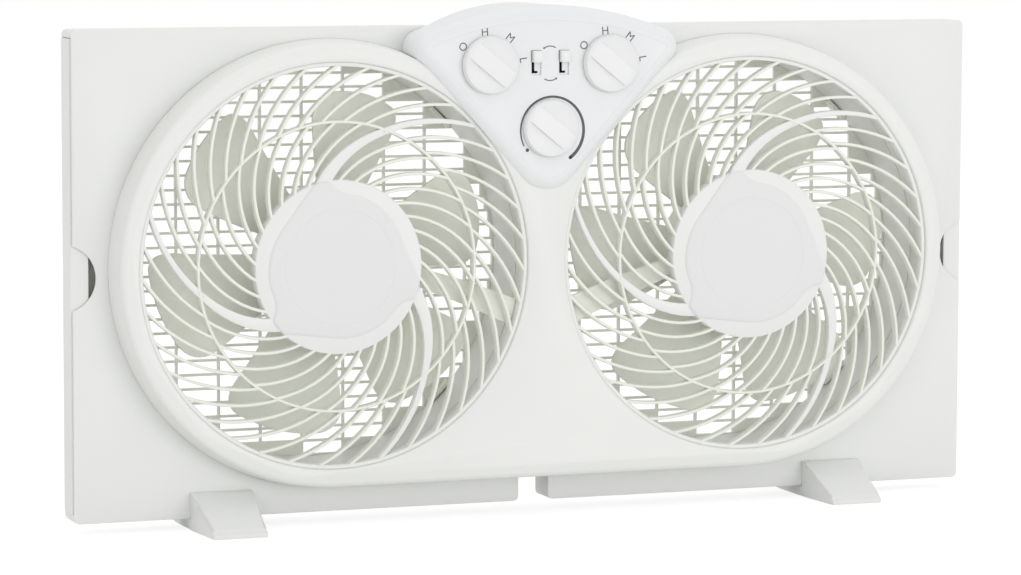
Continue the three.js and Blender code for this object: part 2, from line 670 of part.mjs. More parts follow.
// flat wall with rows of slots whose ends step along the circle
function rearGrille() {
  let body = slab(circle(rearPlateR), REAR_Y + GAP, REAR_Y + GAP + REAR_PLATE_T);
  const halfZ = (SLAT_PITCH - SLAT_T) / 2;
  const rows = Math.floor(slotLimitR / SLAT_PITCH);
  for (let r = -rows; r < rows; r += 1) {
    const z = (r + 0.5) * SLAT_PITCH;
    const reach = Math.sqrt(Math.max(0, slotLimitR ** 2 - (Math.abs(z) + halfZ) ** 2));
    const end = Math.floor(reach / END_STEP) * END_STEP;
    for (let x = 0; x < end; x += RIB_PITCH) {
      const x0 = x + RIB_T / 2;
      const x1 = Math.min(x + RIB_PITCH, end) - RIB_T / 2;
      for (const sign of [-1, 1]) {
        const slot = box(Math.min(sign * x0, sign * x1), Math.max(sign * x0, sign * x1), REAR_Y,
          REAR_Y + 4, z - halfZ, z + halfZ);
        body = body.subtract(slot);
      }
    }
  }
  // locating tabs that reach into the fan tunnel
  for (const a of [45, 135, 225, 315]) {
    const tab = box(-9, 9, REAR_Y - 6, REAR_Y + GAP + 1, MOUTH_R - 3.7, MOUTH_R - 0.9);
    body = body.add(tab.rotate([0, 90 - a, 0]));
  }
  return body;
}

// ---------- control panel and its box ----------
function controlPanel() {
  const edge = { deep: 3, size: 5, steps: 2 };
  let body = slab(shield(), PANEL_FRONT, 0, 4, edge)
    .subtract(box(-200, 200, -faceY - GAP, 20, panelTop - 170, panelTop + 80));
  body = body.subtract(slab(shield(PANEL_WALL + 1.4), PANEL_FRONT + PANEL_WALL, -faceY - GAP - SKIN, 4));
  // passage into the box behind it
  body = body.subtract(slab(rectangle(-56, 56, panelTop - 18.9, panelTop - 6.9), -20, 0));
  const grown = outerProfile.slice(0, -1).map(([r, y]) => [r ? r + GAP : 0, y - GAP]);
  const clear = twinBody([...grown, [baseR + GAP, 0], [0, 0]]);
  body = body.subtract(clear);
  for (const [x, z] of [[-SPEED_X, speedZ], [SPEED_X, speedZ], [0, thermoZ]]) {
    body = body.subtract(disc(x, z, stemHole, PANEL_FRONT - 1, PANEL_FRONT + 6, 16));
  }
  for (const x of [-SLIDE_X, SLIDE_X]) {
    const slot = rectangle(x - SLIDE_SLOT_W / 2, x + SLIDE_SLOT_W / 2,
      slideZ - SLIDE_SLOT_H / 2, slideZ + SLIDE_SLOT_H / 2);
    body = body.subtract(slab(slot, PANEL_FRONT - 1, PANEL_FRONT + 6));
  }
  return body;
}

function controlBox() {
  const low = fanZ + rearWallR + GAP;
  const outline = (inset) => {
    const r = BOX_ARCH_R - inset;
    const cz = panelTop - BOX_ARCH_R;
    const x = BOX_HALF - inset;
    const a = Math.acos(x / r);
    const s = new THREE.Shape();
    s.moveTo(-x, low + inset);
    s.lineTo(x, low + inset);
    s.lineTo(x, cz + r * Math.sin(a));
    s.absarc(0, cz, r, a, Math.PI - a);
    s.closePath();
    return s;
  };
  return slab(outline(0), -faceY, REAR_Y, 12)
    .subtract(slab(outline(SKIN), -faceY - 1, REAR_Y - SKIN, 12));
}

// ---------- knobs, switches ----------
function knob() {
  const back = PANEL_FRONT - 0.5;
  let body = turned([[0, KNOB_FRONT], [KNOB_R - 1.6, KNOB_FRONT], [KNOB_R - 0.4, KNOB_FRONT + 0.7],
    [KNOB_R, KNOB_FRONT + 1.8], [KNOB_R, back], [STEM_R, back], [STEM_R, switchFront + SWITCH_DEEP - 4],
    [0, switchFront + SWITCH_DEEP - 4]], 0, 0, 24);
  for (const side of [-1, 1]) {
    const scoop = new THREE.SphereGeometry(1, 8, 6);
    scoop.scale(12.2, 3.6, 5.6);
    scoop.translate(0, KNOB_FRONT - 0.2, side * 10.8);
    scoop.rotateY(-rad(GRIP_ANGLE));
    body = body.subtract(solid(scoop));
  }
  return body;
}

function rotarySwitch() {
  return slab(rectangle(-13, 13, -13, 10.4, 2.5), switchFront, switchFront + SWITCH_DEEP, 2)
    .subtract(disc(0, 0, stemHole, switchFront - 1, switchFront + SWITCH_DEEP - 3, 16));
}

function thermostat() {
  return turned([[0, switchFront], [13.5, switchFront], [13.5, switchFront + 9], [10, switchFront + 10],
    [10, switchFront + SWITCH_DEEP + 2], [0, switchFront + SWITCH_DEEP + 2]], 0, 0, 20)
    .subtract(disc(0, 0, stemHole, switchFront - 1, switchFront + SWITCH_DEEP - 3, 16));
}

// slide switch: the body, and the white key that shows in the panel slot
function slideBody() {
  const slotW = SLIDE_SLOT_W / 2 - 1.2;
  const reach = SLIDE_SLOT_H / 2;
  return box(-6, 6, switchFront, switchFront + 11, -11, 9.4)
    .subtract(box(-slotW, slotW, switchFront - 1, switchFront + 4, -reach, reach));
}

function slideKey() {
  const half = SLIDE_SLOT_W / 2 - GAP;
  const top = SLIDE_SLOT_H / 2 - GAP;
  const low = top - SLIDE_KEY_H;
  const mid = (top + low) / 2;
  const cap = slab(rectangle(-half, half, low, top, 0.6), PANEL_FRONT - 1, switchFront - GAP - 0.1, 2);
  const tongue = box(-2, 2, switchFront - 1, switchFront + 3.6, mid - 2.6, mid + 2.6);
  return cap.add(tongue);
}

// ---------- feet, gland, screws ----------
function foot() {
  const inner = faceY + GAP;
  const slotZ = bottomZ - GAP;
  const profile = [[-inner, FOOT_H], [-inner - 3, FOOT_H], [-FOOT_REACH + 3, 4.4],
    [-FOOT_REACH, 2.6], [-FOOT_REACH, 0], [FOOT_REACH, 0], [FOOT_REACH, 2.6],
    [FOOT_REACH - 3, 4.4], [inner + 3, FOOT_H], [inner, FOOT_H], [inner, slotZ],
    [-inner, slotZ]];
  const plan = new THREE.Shape();
  const w = FOOT_W / 2;
  plan.moveTo(-w + 3, -FOOT_REACH - 1);
  plan.lineTo(w - 3, -FOOT_REACH - 1);
  plan.lineTo(w, -20);
  plan.lineTo(w, 20);
  plan.lineTo(w - 3, FOOT_REACH + 1);
  plan.lineTo(-w + 3, FOOT_REACH + 1);
  plan.lineTo(-w, 20);
  plan.lineTo(-w, -20);
  plan.closePath();
  const planBody = new THREE.ExtrudeGeometry(plan, { depth: 40, bevelEnabled: false });
  planBody.translate(0, 0, -5);
  const hollow = [[-faceY - 2, 3.9], [-FOOT_REACH + 6, 2.2], [-FOOT_REACH + 6, -1],
    [FOOT_REACH - 6, -1], [FOOT_REACH - 6, 2.2], [faceY + 2, 3.9]];
  return bar(profile, -w - 1, w + 1).intersect(solid(planBody))
    .subtract(bar(hollow, -w + 5, w - 5));
}

function cordGland() {
  return turned([[3.4, REAR_Y - 5], [6.2, REAR_Y - 5], [6.2, REAR_Y + GAP], [9.5, REAR_Y + GAP],
    [9.5, REAR_Y + 2], [7, REAR_Y + 3.6], [3.4, REAR_Y + 3.6]], 0, 0, 12);
}

function screw(headY, length) {
  return turned([[0, headY], [SCREW_HEAD_R, headY], [SCREW_HEAD_R, headY - SCREW_HEAD_T],
    [SCREW_R, headY - SCREW_HEAD_T], [SCREW_R, headY - SCREW_HEAD_T - length],
    [0, headY - SCREW_HEAD_T - length]], 0, 0, 8);
}

// ---------- assembly ----------
const fan = new THREE.Group();

function place(name, body, material, x = 0, z = 0) {
  const m = mesh(name, body, material);
  m.position.set(x, 0, z);
  fan.add(m);
}

place('front_housing', frontHousing(), shellWhite);
place('rear_housing', rearHousing(), shellWhite);
const leftPanel = sidePanel();
place('left_side_panel', leftPanel, panelWhite);
place('right_side_panel', mirrored(leftPanel), panelWhite);
const leftExtender = extender();
place('left_extender', leftExtender, panelWhite);
place('right_extender', mirrored(leftExtender), panelWhite);
const leftScreen = pleatedScreen();
place('left_pleated_screen', leftScreen, screenGrey);
place('right_pleated_screen', mirrored(leftScreen), screenGrey);

const grille = frontGrille();
const backGrille = rearGrille();
const channel = wireChannel();
const motorBody = motor();
const motorPin = motorShaft();
const nut = bladeNut();
const sides = [['left', -1, LEFT_PHASE], ['right', 1, RIGHT_PHASE]];
for (const [side, sign, phase] of sides) {
  const x = sign * fanX;
  place(`${side}_front_grille`, grille, grilleWhite, x, fanZ);
  place(`${side}_wire_channel`, sign < 0 ? channel : mirrored(channel), grilleWhite, x, fanZ);
  place(`${side}_rear_grille`, backGrille, shellWhite, x, fanZ);
  place(`${side}_motor`, motorBody, innerGrey, x, fanZ);
  place(`${side}_motor_shaft`, motorPin, steel, x, fanZ);
  place(`${side}_fan_blades`, blades(phase), bladeWhite, x, fanZ);
  place(`${side}_blade_nut`, nut, blackPlastic, x, fanZ);
  [30, 150, 270].forEach((a, i) => {
    const sx = x + 42 * Math.cos(rad(a));
    const sz = fanZ + 42 * Math.sin(rad(a));
    const head = MOTOR_FLANGE_Y + 2 + GAP + SCREW_HEAD_T;
    place(`${side}_motor_screw_${i + 1}`, screw(head, 7.5), zinc, sx, sz);
  });
  place(`${side}_foot`, foot(), panelWhite, sign * FOOT_X, 0);
}

place('control_panel', controlPanel(), controlWhite);
place('control_box', controlBox(), shellWhite);
const dial = knob();
place('left_speed_knob', dial, controlWhite, -SPEED_X, speedZ);
place('right_speed_knob', dial, controlWhite, SPEED_X, speedZ);
place('thermostat_knob', dial, controlWhite, 0, thermoZ);
place('left_speed_switch', rotarySwitch(), blackPlastic, -SPEED_X, speedZ);
place('right_speed_switch', rotarySwitch(), blackPlastic, SPEED_X, speedZ);
place('thermostat', thermostat(), innerGrey, 0, thermoZ);
for (const [side, sign] of [['left', -1], ['right', 1]]) {
  place(`${side}_airflow_switch`, slideBody(), blackPlastic, sign * SLIDE_X, slideZ);
  place(`${side}_airflow_key`, slideKey(), controlWhite, sign * SLIDE_X, slideZ);
}
place('cord_gland', cordGland(), blackPlastic, 0, glandZ);
BOSSES.forEach(([x, z], i) => {
  place(`body_screw_${i + 1}`, screw(-2 + GAP + SCREW_HEAD_T, 17), zinc, x, z);
});

export default fan;
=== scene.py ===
"""Looks of a window fan with side-by-side fans: white moulded shells, spiral front grilles,
slotted rear grilles, a dial panel, pull-out pleated side panels and clip-on feet."""

import math

import bpy
from mathutils import Matrix, Vector


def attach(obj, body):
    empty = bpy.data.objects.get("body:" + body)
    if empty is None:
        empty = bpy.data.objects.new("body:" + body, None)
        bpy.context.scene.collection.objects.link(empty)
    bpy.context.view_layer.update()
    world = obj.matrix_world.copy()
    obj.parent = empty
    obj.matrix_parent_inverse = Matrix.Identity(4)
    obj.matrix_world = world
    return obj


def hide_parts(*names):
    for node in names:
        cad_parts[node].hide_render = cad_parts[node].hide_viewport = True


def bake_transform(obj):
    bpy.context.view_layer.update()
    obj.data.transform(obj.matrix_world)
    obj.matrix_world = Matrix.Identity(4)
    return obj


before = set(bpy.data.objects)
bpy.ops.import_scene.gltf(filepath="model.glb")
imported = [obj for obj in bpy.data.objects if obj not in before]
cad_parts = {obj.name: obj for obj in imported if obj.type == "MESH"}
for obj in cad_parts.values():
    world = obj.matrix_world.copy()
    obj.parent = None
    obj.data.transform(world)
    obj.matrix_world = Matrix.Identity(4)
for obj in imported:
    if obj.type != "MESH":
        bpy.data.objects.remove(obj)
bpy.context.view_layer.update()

U = 0.001  # sizes below are in millimetres
FAN_X = 137.6
FAN_Z = 161.6
FACE_Y = 11.5
PLATE_END, PLATE_LOW, PLATE_HIGH = 298.5, 7, 307.3
SCREEN_LOW, SCREEN_HIGH = 29.8, 293.4
RIM_Y = -34.4
BASE_R = 139.0
MOUTH_R = 125.3
REAR_WALL_R = 129.0
REAR_Y = 28.3
HUB_FRONT = -37.4
HUB_R = 53.8
MID_RING_R = 89.0
GRILLE_IN_R = 122.6
GRILLE_OUT_R = 125.27
SPOKE_ANGLE = 69.0
SPOKES, OUTER_VANES, INNER_VANES = 3, 39, 33
OUTER_SWEEP, INNER_SWEEP = 0.75, 0.87  # degrees of turn for each millimetre of radius
VANE_WIDE = 1.9
PANEL_FRONT = -38.0
PRINT_BACK, PRINT_FRONT = PANEL_FRONT + 0.19, PANEL_FRONT + 0.3
KNOB_FRONT = -43.6
SPEED_X, SPEED_Z, THERMO_Z = 40.0, 284.0, 244.4
SLIDE_X, SLIDE_Z = 9.2, 285.0
BOSSES = [(-66, 279), (66, 279), (-66, 44.2), (66, 44.2), (0, 105), (0, 208)]
SIDES = (("left", -1, 15.5), ("right", 1, 2.0))
ARC = 160  # corners of the large circles


# ---------- working in edit mode ----------
def select_only(*objs):
    bpy.ops.object.select_all(action="DESELECT")
    for obj in objs:
        obj.select_set(True)
    bpy.context.view_layer.objects.active = objs[0]


def named(name):
    obj = bpy.context.object
    obj.name = name
    obj.data.name = name
    select_only(obj)
    bpy.ops.object.transform_apply(location=True, rotation=True, scale=True)
    return obj


def enter(obj, kind="VERT"):
    select_only(obj)
    kinds = ("VERT", "EDGE", "FACE")
    bpy.context.tool_settings.mesh_select_mode = [kind == k for k in kinds]
    bpy.ops.object.mode_set(mode="EDIT")


def leave():
    bpy.ops.object.mode_set(mode="OBJECT")


def pick(obj, kind, test):
    """Goes into edit mode with the vertices, edges or faces selected that pass the test."""
    mesh = obj.data
    for group in (mesh.vertices, mesh.edges, mesh.polygons):
        group.foreach_set("select", [False] * len(group))
    if kind == "VERT":
        for v in mesh.vertices:
            v.select = test(v.co / U)
    elif kind == "EDGE":
        for e in mesh.edges:
            a, b = (mesh.vertices[i].co / U for i in e.vertices)
            e.select = test(a, b)
    else:
        for f in mesh.polygons:
            f.select = test(f.center / U, f.normal)
    enter(obj, kind)


def move(dx=0, dy=0, dz=0):
    bpy.ops.transform.translate(value=(dx * U, dy * U, dz * U))


def push(dx=0, dy=0, dz=0):
    """Extrudes what is selected."""
    bpy.ops.mesh.extrude_region_move(TRANSFORM_OT_translate={"value": (dx * U, dy * U, dz * U)})


def build_up(steps):
    """Grows the one selected face by steps of (inwards, outwards along its normal)."""
    for inwards, outwards in steps:
        bpy.ops.mesh.inset(thickness=inwards * U, depth=outwards * U, use_even_offset=True)


def tidy(obj, merge=0.0005):
    enter(obj)
    bpy.ops.mesh.select_all(action="SELECT")
    bpy.ops.mesh.remove_doubles(threshold=merge * U)
    bpy.ops.mesh.normals_make_consistent(inside=False)
    leave()


def apply_modifier(obj, kind, **settings):
    mod = obj.modifiers.new(kind.lower(), kind)
    for key, value in settings.items():
        setattr(mod, key, value)
    select_only(obj)
    bpy.ops.object.modifier_apply(modifier=mod.name)


def cut(obj, tool, how="DIFFERENCE"):
    apply_modifier(obj, "BOOLEAN", operation=how, object=tool, solver="MANIFOLD")
    bpy.data.objects.remove(tool)
    return obj


def soften(obj, width, segments=2, angle=30):
    """Rounds every sharp edge a little."""
    apply_modifier(obj, "BEVEL", width=width * U, segments=segments, limit_method="ANGLE",
                   angle_limit=math.radians(angle), use_clamp_overlap=True)


def smooth(obj, angle=32):
    select_only(obj)
    bpy.ops.object.shade_smooth_by_angle(angle=math.radians(angle))


def join(name, objs):
    select_only(*objs)
    bpy.ops.object.join()
    return named(name)


def twin(obj, name):
    """A copy with its own mesh."""
    copy = obj.copy()
    copy.data = obj.data.copy()
    copy.name = copy.data.name = name
    bpy.context.scene.collection.objects.link(copy)
    return copy


def placed(obj, matrix):
    obj.data.transform(matrix)
    if matrix.determinant() < 0:
        obj.data.flip_normals()
    return obj


def shift(x=0, y=0, z=0):
    return Matrix.Translation(Vector((x, y, z)) * U)


def turned_y(degrees, x=0, z=0):
    """A turn about the fan axis direction, counter-clockwise as seen from the front."""
    spin = Matrix.Rotation(-math.radians(degrees), 4, "Y")
    return shift(x, 0, z) @ spin @ shift(-x, 0, -z)


MIRROR = Matrix.Scale(-1, 4, (1, 0, 0))


def copies_round(obj, count, name):
    ring = [obj]
    for k in range(1, count):
        ring.append(placed(twin(obj, name), turned_y(360 / count * k)))
    return ring


# ---------- primitives at their place ----------
def block(name, x0, x1, y0, y1, z0, z1):
    bpy.ops.mesh.primitive_cube_add(
        size=1, location=((x0 + x1) / 2 * U, (y0 + y1) / 2 * U, (z0 + z1) / 2 * U),
        scale=((x1 - x0) * U, (y1 - y0) * U, (z1 - z0) * U))
    return named(name)


def plug(name, x, z, r, y0, y1, corners=ARC):
    bpy.ops.mesh.primitive_cylinder_add(
        vertices=corners, radius=r * U, depth=(y1 - y0) * U,
        location=(x * U, (y0 + y1) / 2 * U, z * U), rotation=(math.pi / 2, math.pi / corners, 0))
    return named(name)


def stadium(name, r, y, steps):
    """A long oval round both fans whose face is at y, built up towards the front by steps."""
    bpy.ops.mesh.primitive_circle_add(
        vertices=ARC, radius=r * U, fill_type="NGON", location=(0, y * U, FAN_Z * U),
        rotation=(math.pi / 2, math.pi / ARC, 0))
    obj = named(name)
    for side in (-1, 1):
        pick(obj, "VERT", lambda c: c.x * side > 0)
        move(dx=side * FAN_X)
        leave()
    pick(obj, "FACE", lambda c, n: True)
    first, rest = steps[0], steps[1:]
    push(dy=-first[1])
    build_up(rest)
    leave()
    tidy(obj)
    return obj


def sheet_of(name, points, y):
    """A flat face with this outline in X and Z, from a primitive circle whose corners move."""
    bpy.ops.mesh.primitive_circle_add(vertices=len(points), radius=0.1, fill_type="NGON",
                                      rotation=(math.pi / 2, 0, 0))
    obj = named(name)
    for vertex, (x, z) in zip(obj.data.vertices, points):
        vertex.co = Vector((x, y, z)) * U
    enter(obj, "FACE")
    bpy.ops.mesh.select_all(action="SELECT")
    bpy.ops.mesh.normals_make_consistent(inside=False)
    leave()
    if obj.data.polygons[0].normal.y > 0:
        obj.data.flip_normals()
    return obj


def prism(name, points, y0, y1):
    obj = sheet_of(name, points, y1)
    pick(obj, "FACE", lambda c, n: True)
    push(dy=y0 - y1)
    leave()
    tidy(obj)
    return obj


def lathe(name, profile, x=0, z=0, steps=96):
    """Spins a profile of (radius, y) points round the fan axis direction through x, z."""
    closed = profile[0][0] > 0 or profile[-1][0] > 0
    bpy.ops.mesh.primitive_circle_add(vertices=len(profile), radius=0.1, fill_type="NOTHING")
    obj = named(name)
    for vertex, (r, y) in zip(obj.data.vertices, profile):
        vertex.co = Vector((r, y, 0)) * U
    if not closed:
        pick(obj, "EDGE", lambda a, b: a.x < 1e-6 and b.x < 1e-6)
        bpy.ops.mesh.delete(type="EDGE")
        leave()
    enter(obj)
    bpy.ops.mesh.select_all(action="SELECT")
    bpy.ops.mesh.spin(steps=steps, angle=math.tau, center=(0, 0, 0), axis=(0, 1, 0))
    bpy.ops.mesh.select_all(action="SELECT")
    bpy.ops.mesh.remove_doubles(threshold=0.002 * U)
    bpy.ops.mesh.normals_make_consistent(inside=False)
    leave()
    return placed(obj, shift(x, 0, z))


def arc_points(x, z, r, start, end, count):
    return [(x + r * math.cos(math.radians(start + (end - start) * k / count)),
             z + r * math.sin(math.radians(start + (end - start) * k / count)))
            for k in range(count + 1)]


def step_to(obj, before, after, y):
    """Extrudes the selected front face in place and moves its corners to the next outline."""
    bpy.ops.mesh.extrude_region_move(TRANSFORM_OT_translate={"value": (0, 0, 0)})
    leave()
    for v in obj.data.vertices:
        if v.select:
            x, z = v.co.x / U, v.co.z / U
            k = min(range(len(before)),
                    key=lambda j: abs(before[j][0] - x) + abs(before[j][1] - z))
            v.co = Vector((after[k][0], y, after[k][1])) * U
    enter(obj, "FACE")


def stepped(name, outline, steps, back):
    """A moulding whose front is reached by outlines at growing insets and depths."""
    obj = sheet_of(name, outline(steps[0][0]), back)
    pick(obj, "FACE", lambda c, n: True)
    before = outline(steps[0][0])
    for inset, y in steps:
        after = outline(inset)
        step_to(obj, before, after, y)
        before = after
    leave()
    tidy(obj)
    return obj


def dress(node, material, edge=0.4):
    """A CAD node that keeps its shape gets its material and softly broken edges."""
    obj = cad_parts[node]
    obj.data.materials.clear()
    obj.data.materials.append(material)
    weld = obj.modifiers.new("weld", "WELD")
    weld.merge_threshold = 0.002 * U
    flat = obj.modifiers.new("flat faces", "DECIMATE")
    flat.decimate_type = "DISSOLVE"
    flat.angle_limit = math.radians(0.5)
    if edge:
        bevel = obj.modifiers.new("broken edges", "BEVEL")
        bevel.width = edge * U
        bevel.segments = 2
        bevel.limit_method = "ANGLE"
        bevel.angle_limit = math.radians(32)
        bevel.harden_normals = True
    return obj


def finished(obj, body, material, slot, *nodes):
    """Gives a new piece its finish, the CAD body it rides on and the CAD nodes it stands for."""
    if material:
        obj.data.materials.clear()
        obj.data.materials.append(material)
    if nodes:
        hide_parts(*nodes)
    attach(obj, body)
    return obj


# ---------- finishes ----------
def rgb(code):
    """A colour written as on a colour card, as the linear value a shader takes."""
    parts = [int(code[i:i + 2], 16) / 255 for i in (0, 2, 4)]
    return [p / 12.92 if p <= 0.04045 else ((p + 0.055) / 1.055) ** 2.4 for p in parts] + [1.0]


def group_socket(tree, name, direction, value=None):
    item = tree.interface.new_socket(name=name, in_out=direction,
                                     socket_type="NodeSocketFloat")
    if value is not None:
        item.default_value = value


def moulded_skin():
    """Fine spark-eroded grain with slow changes of shade, as on moulded plastic."""
    tree = bpy.data.node_groups.new("moulded skin", "ShaderNodeTree")
    group_socket(tree, "Grain", "INPUT", 2600.0)
    group_socket(tree, "Drift", "INPUT", 9.0)
    group_socket(tree, "Height", "OUTPUT")
    group_socket(tree, "Shade", "OUTPUT")
    group_socket(tree, "Dull", "OUTPUT")
    nodes, links = tree.nodes, tree.links
    entry, out = nodes.new("NodeGroupInput"), nodes.new("NodeGroupOutput")
    place = nodes.new("ShaderNodeTexCoord")
    grain = nodes.new("ShaderNodeTexNoise")
    grain.inputs["Detail"].default_value = 2.0
    drift = nodes.new("ShaderNodeTexNoise")
    drift.inputs["Detail"].default_value = 3.0
    patch = nodes.new("ShaderNodeTexNoise")
    patch.inputs["Scale"].default_value = 34.0
    links.new(place.outputs["Object"], grain.inputs["Vector"])
    links.new(place.outputs["Object"], drift.inputs["Vector"])
    links.new(place.outputs["Object"], patch.inputs["Vector"])
    links.new(entry.outputs["Grain"], grain.inputs["Scale"])
    links.new(entry.outputs["Drift"], drift.inputs["Scale"])
    links.new(grain.outputs["Fac"], out.inputs["Height"])
    links.new(drift.outputs["Fac"], out.inputs["Shade"])
    links.new(patch.outputs["Fac"], out.inputs["Dull"])
    return tree


def ramp_between(tree, fac, low, high):
    mix = tree.nodes.new("ShaderNodeMix")
    mix.data_type = "RGBA"
    mix.inputs[6].default_value = low
    mix.inputs[7].default_value = high
    tree.links.new(fac, mix.inputs[0])
    return mix.outputs[2]


def range_between(tree, value, low, high):
    node = tree.nodes.new("ShaderNodeMapRange")
    node.inputs["From Min"].default_value = 0.3
    node.inputs["From Max"].default_value = 0.7
    node.inputs["To Min"].default_value = low
    node.inputs["To Max"].default_value = high
    tree.links.new(value, node.inputs["Value"])
    return node.outputs["Result"]


SKIN = moulded_skin()


def moulded(name, code, rough=0.42, grain=2600.0, bump=0.05, spread=0.02, metallic=0.0):
    mat = bpy.data.materials.new(name)
    mat.use_nodes = True
    tree = mat.node_tree
    shader = tree.nodes["Principled BSDF"]
    skin = tree.nodes.new("ShaderNodeGroup")
    skin.node_tree = SKIN
    skin.inputs["Grain"].default_value = grain
    colour = rgb(code)
    low = [c * (1 - spread) for c in colour[:3]] + [1]
    high = [min(1, c * (1 + spread)) for c in colour[:3]] + [1]
    tree.links.new(ramp_between(tree, skin.outputs["Shade"], low, high),
                   shader.inputs["Base Color"])
    tree.links.new(range_between(tree, skin.outputs["Dull"], rough - 0.04, rough + 0.05),
                   shader.inputs["Roughness"])
    relief = tree.nodes.new("ShaderNodeBump")
    relief.inputs["Strength"].default_value = bump
    relief.inputs["Distance"].default_value = 0.0002
    tree.links.new(skin.outputs["Height"], relief.inputs["Height"])
    tree.links.new(relief.outputs["Normal"], shader.inputs["Normal"])
    shader.inputs["Metallic"].default_value = metallic
    shader.inputs["IOR"].default_value = 1.49
    return mat


SHELL_WHITE = moulded("shell white", "EAEBE8", 0.40)
PLATE_WHITE = moulded("plate white", "E8E9E7", 0.44)
GRILLE_WHITE = moulded("grille warm white", "ECEDE4", 0.38, bump=0.03)
HUB_WHITE = moulded("hub white", "EAEBE9", 0.42, bump=0.03)
PANEL_WHITE = moulded("panel white", "E8E9EA", 0.40)
KNOB_WHITE = moulded("knob white", "EAEBEA", 0.36, bump=0.03)
BLADE_WHITE = moulded("blade white", "F1F3E9", 0.50)
REAR_WHITE = moulded("rear grille white", "F1F2EA", 0.46)
PLEAT_WHITE = moulded("pleat white", "ECEBE3", 0.72, grain=1500, bump=0.2)
SWITCH_BLACK = moulded("switch black", "26262A", 0.48)
INNER_GREY = moulded("inner grey", "B9BBB4", 0.6)
INK = moulded("print ink", "66676C", 0.55, bump=0.02)
BLACK_INK = moulded("dial ink", "55565A", 0.5, bump=0.02)
MOTOR_STEEL = moulded("motor steel", "8F9295", 0.42, grain=900, bump=0.15, metallic=1.0)
SHAFT_STEEL = moulded("shaft steel", "C4C6C9", 0.24, grain=3000, bump=0.02, metallic=1.0)
ZINC = moulded("screw zinc", "A7A9AD", 0.36, grain=1800, bump=0.05, metallic=1.0)


# ---------- front and rear shells ----------
def raised_outline(r, seat):
    """Outline round both fan circles: straight below, and level with the fascia's seat above."""
    def at(inset):
        radius, level = r - inset, seat - inset - FAN_Z
        start = math.degrees(math.asin(level / radius))
        left = arc_points(-FAN_X, FAN_Z, radius, start, 270, 120)
        return left + [(-x, z) for x, z in reversed(left)]
    return at


def front_shell():
    """The raised moulding round both air mouths, hollow behind its face."""
    shell = stepped("front_shell", raised_outline(BASE_R, 278.2), [
        (0, -12.4), (2.3, -31.0), (2.65, -32.1), (3.35, -33.1), (4.45, -33.9), (6.05, RIM_Y)],
        -11.8)
    shell = cut(shell, stepped("inner", raised_outline(BASE_R - 2.2, 276.0), [
        (0, -12.2), (2.5, -30.2), (4.5, -32.2)], -11))
    for x in (-FAN_X, FAN_X):
        shell = cut(shell, plug("tunnel", x, FAN_Z, MOUTH_R + 2.2, RIM_Y + 1, -11.8), "UNION")
    for x, z in BOSSES:
        shell = cut(shell, plug("boss", x, z, 4.6, RIM_Y + 1, -11.8, 24), "UNION")
    for x in (-FAN_X, FAN_X):
        # the mouth opens with a small round towards the face
        mouth = lathe("mouth", [(0, -37), (MOUTH_R + 2.2, -37), (MOUTH_R + 1.3, RIM_Y),
                                (MOUTH_R + 0.5, RIM_Y + 0.4), (MOUTH_R + 0.1, RIM_Y + 1.0),
                                (MOUTH_R, RIM_Y + 1.8), (MOUTH_R, -10), (0, -10)],
                      x, FAN_Z, ARC)
        shell = cut(shell, mouth)
        ledge = lathe("ledge", [(GRILLE_IN_R, -21.7), (MOUTH_R + 1, -21.7),
                                (MOUTH_R + 1, -19.7), (GRILLE_IN_R, -19.7)], x, FAN_Z, ARC)
        shell = cut(shell, ledge, "UNION")
    for x, z in BOSSES:
        shell = cut(shell, plug("pilot", x, z, 1.9, RIM_Y + 3.7, -10, 16))
    window = [(-57, 290), (-57, 268), (-18, 262), (-18, 227), (18, 227), (18, 262),
              (57, 268), (57, 290)]
    shell = cut(shell, prism("window", window, -40, -31))
    smooth(shell, 28)
    return shell


def rear_shell():
    """The back half with both tunnels and the flange that clamps the side plates."""
    shell = stadium("rear_shell", REAR_WALL_R, REAR_Y - 2.0, [(0, 37.1)])
    back = stadium("back", REAR_WALL_R - 1.9, REAR_Y, [(0, 0.1), (-0.9, 0.5), (-1.0, 1.4)])
    shell = cut(shell, back, "UNION")
    flange = stadium("flange", 137.0, 14.0, [(0, 2.2)])
    shell = cut(shell, flange, "UNION")
    shell = cut(shell, stadium("inner", REAR_WALL_R - 2.2, REAR_Y - 2.2, [(0, 40)]))
    for x in (-FAN_X, FAN_X):
        shell = cut(shell, plug("tunnel", x, FAN_Z, MOUTH_R + 1.8, -10.8, REAR_Y - 0.2), "UNION")
    shell = cut(shell, block("box seat", -60.3, 60.3, 11.5, 14.7, FAN_Z + REAR_WALL_R, 307))
    for x, z in BOSSES:
        shell = cut(shell, plug("boss", x, z, 5.6, -11.5, REAR_Y, 24), "UNION")
    for x in (-FAN_X, FAN_X):
        shell = cut(shell, plug("tunnel air", x, FAN_Z, MOUTH_R, -13, REAR_Y + 2))
    for x, z in BOSSES:
        shell = cut(shell, plug("well", x, z, 3.8, -2, REAR_Y + 1, 24))
        shell = cut(shell, plug("pilot", x, z, 1.9, -12.5, 0, 16))
    shell = cut(shell, plug("gland seat", 0, 62, 6.5, REAR_Y - 4, REAR_Y + 1, 32))
    smooth(shell, 28)
    return shell


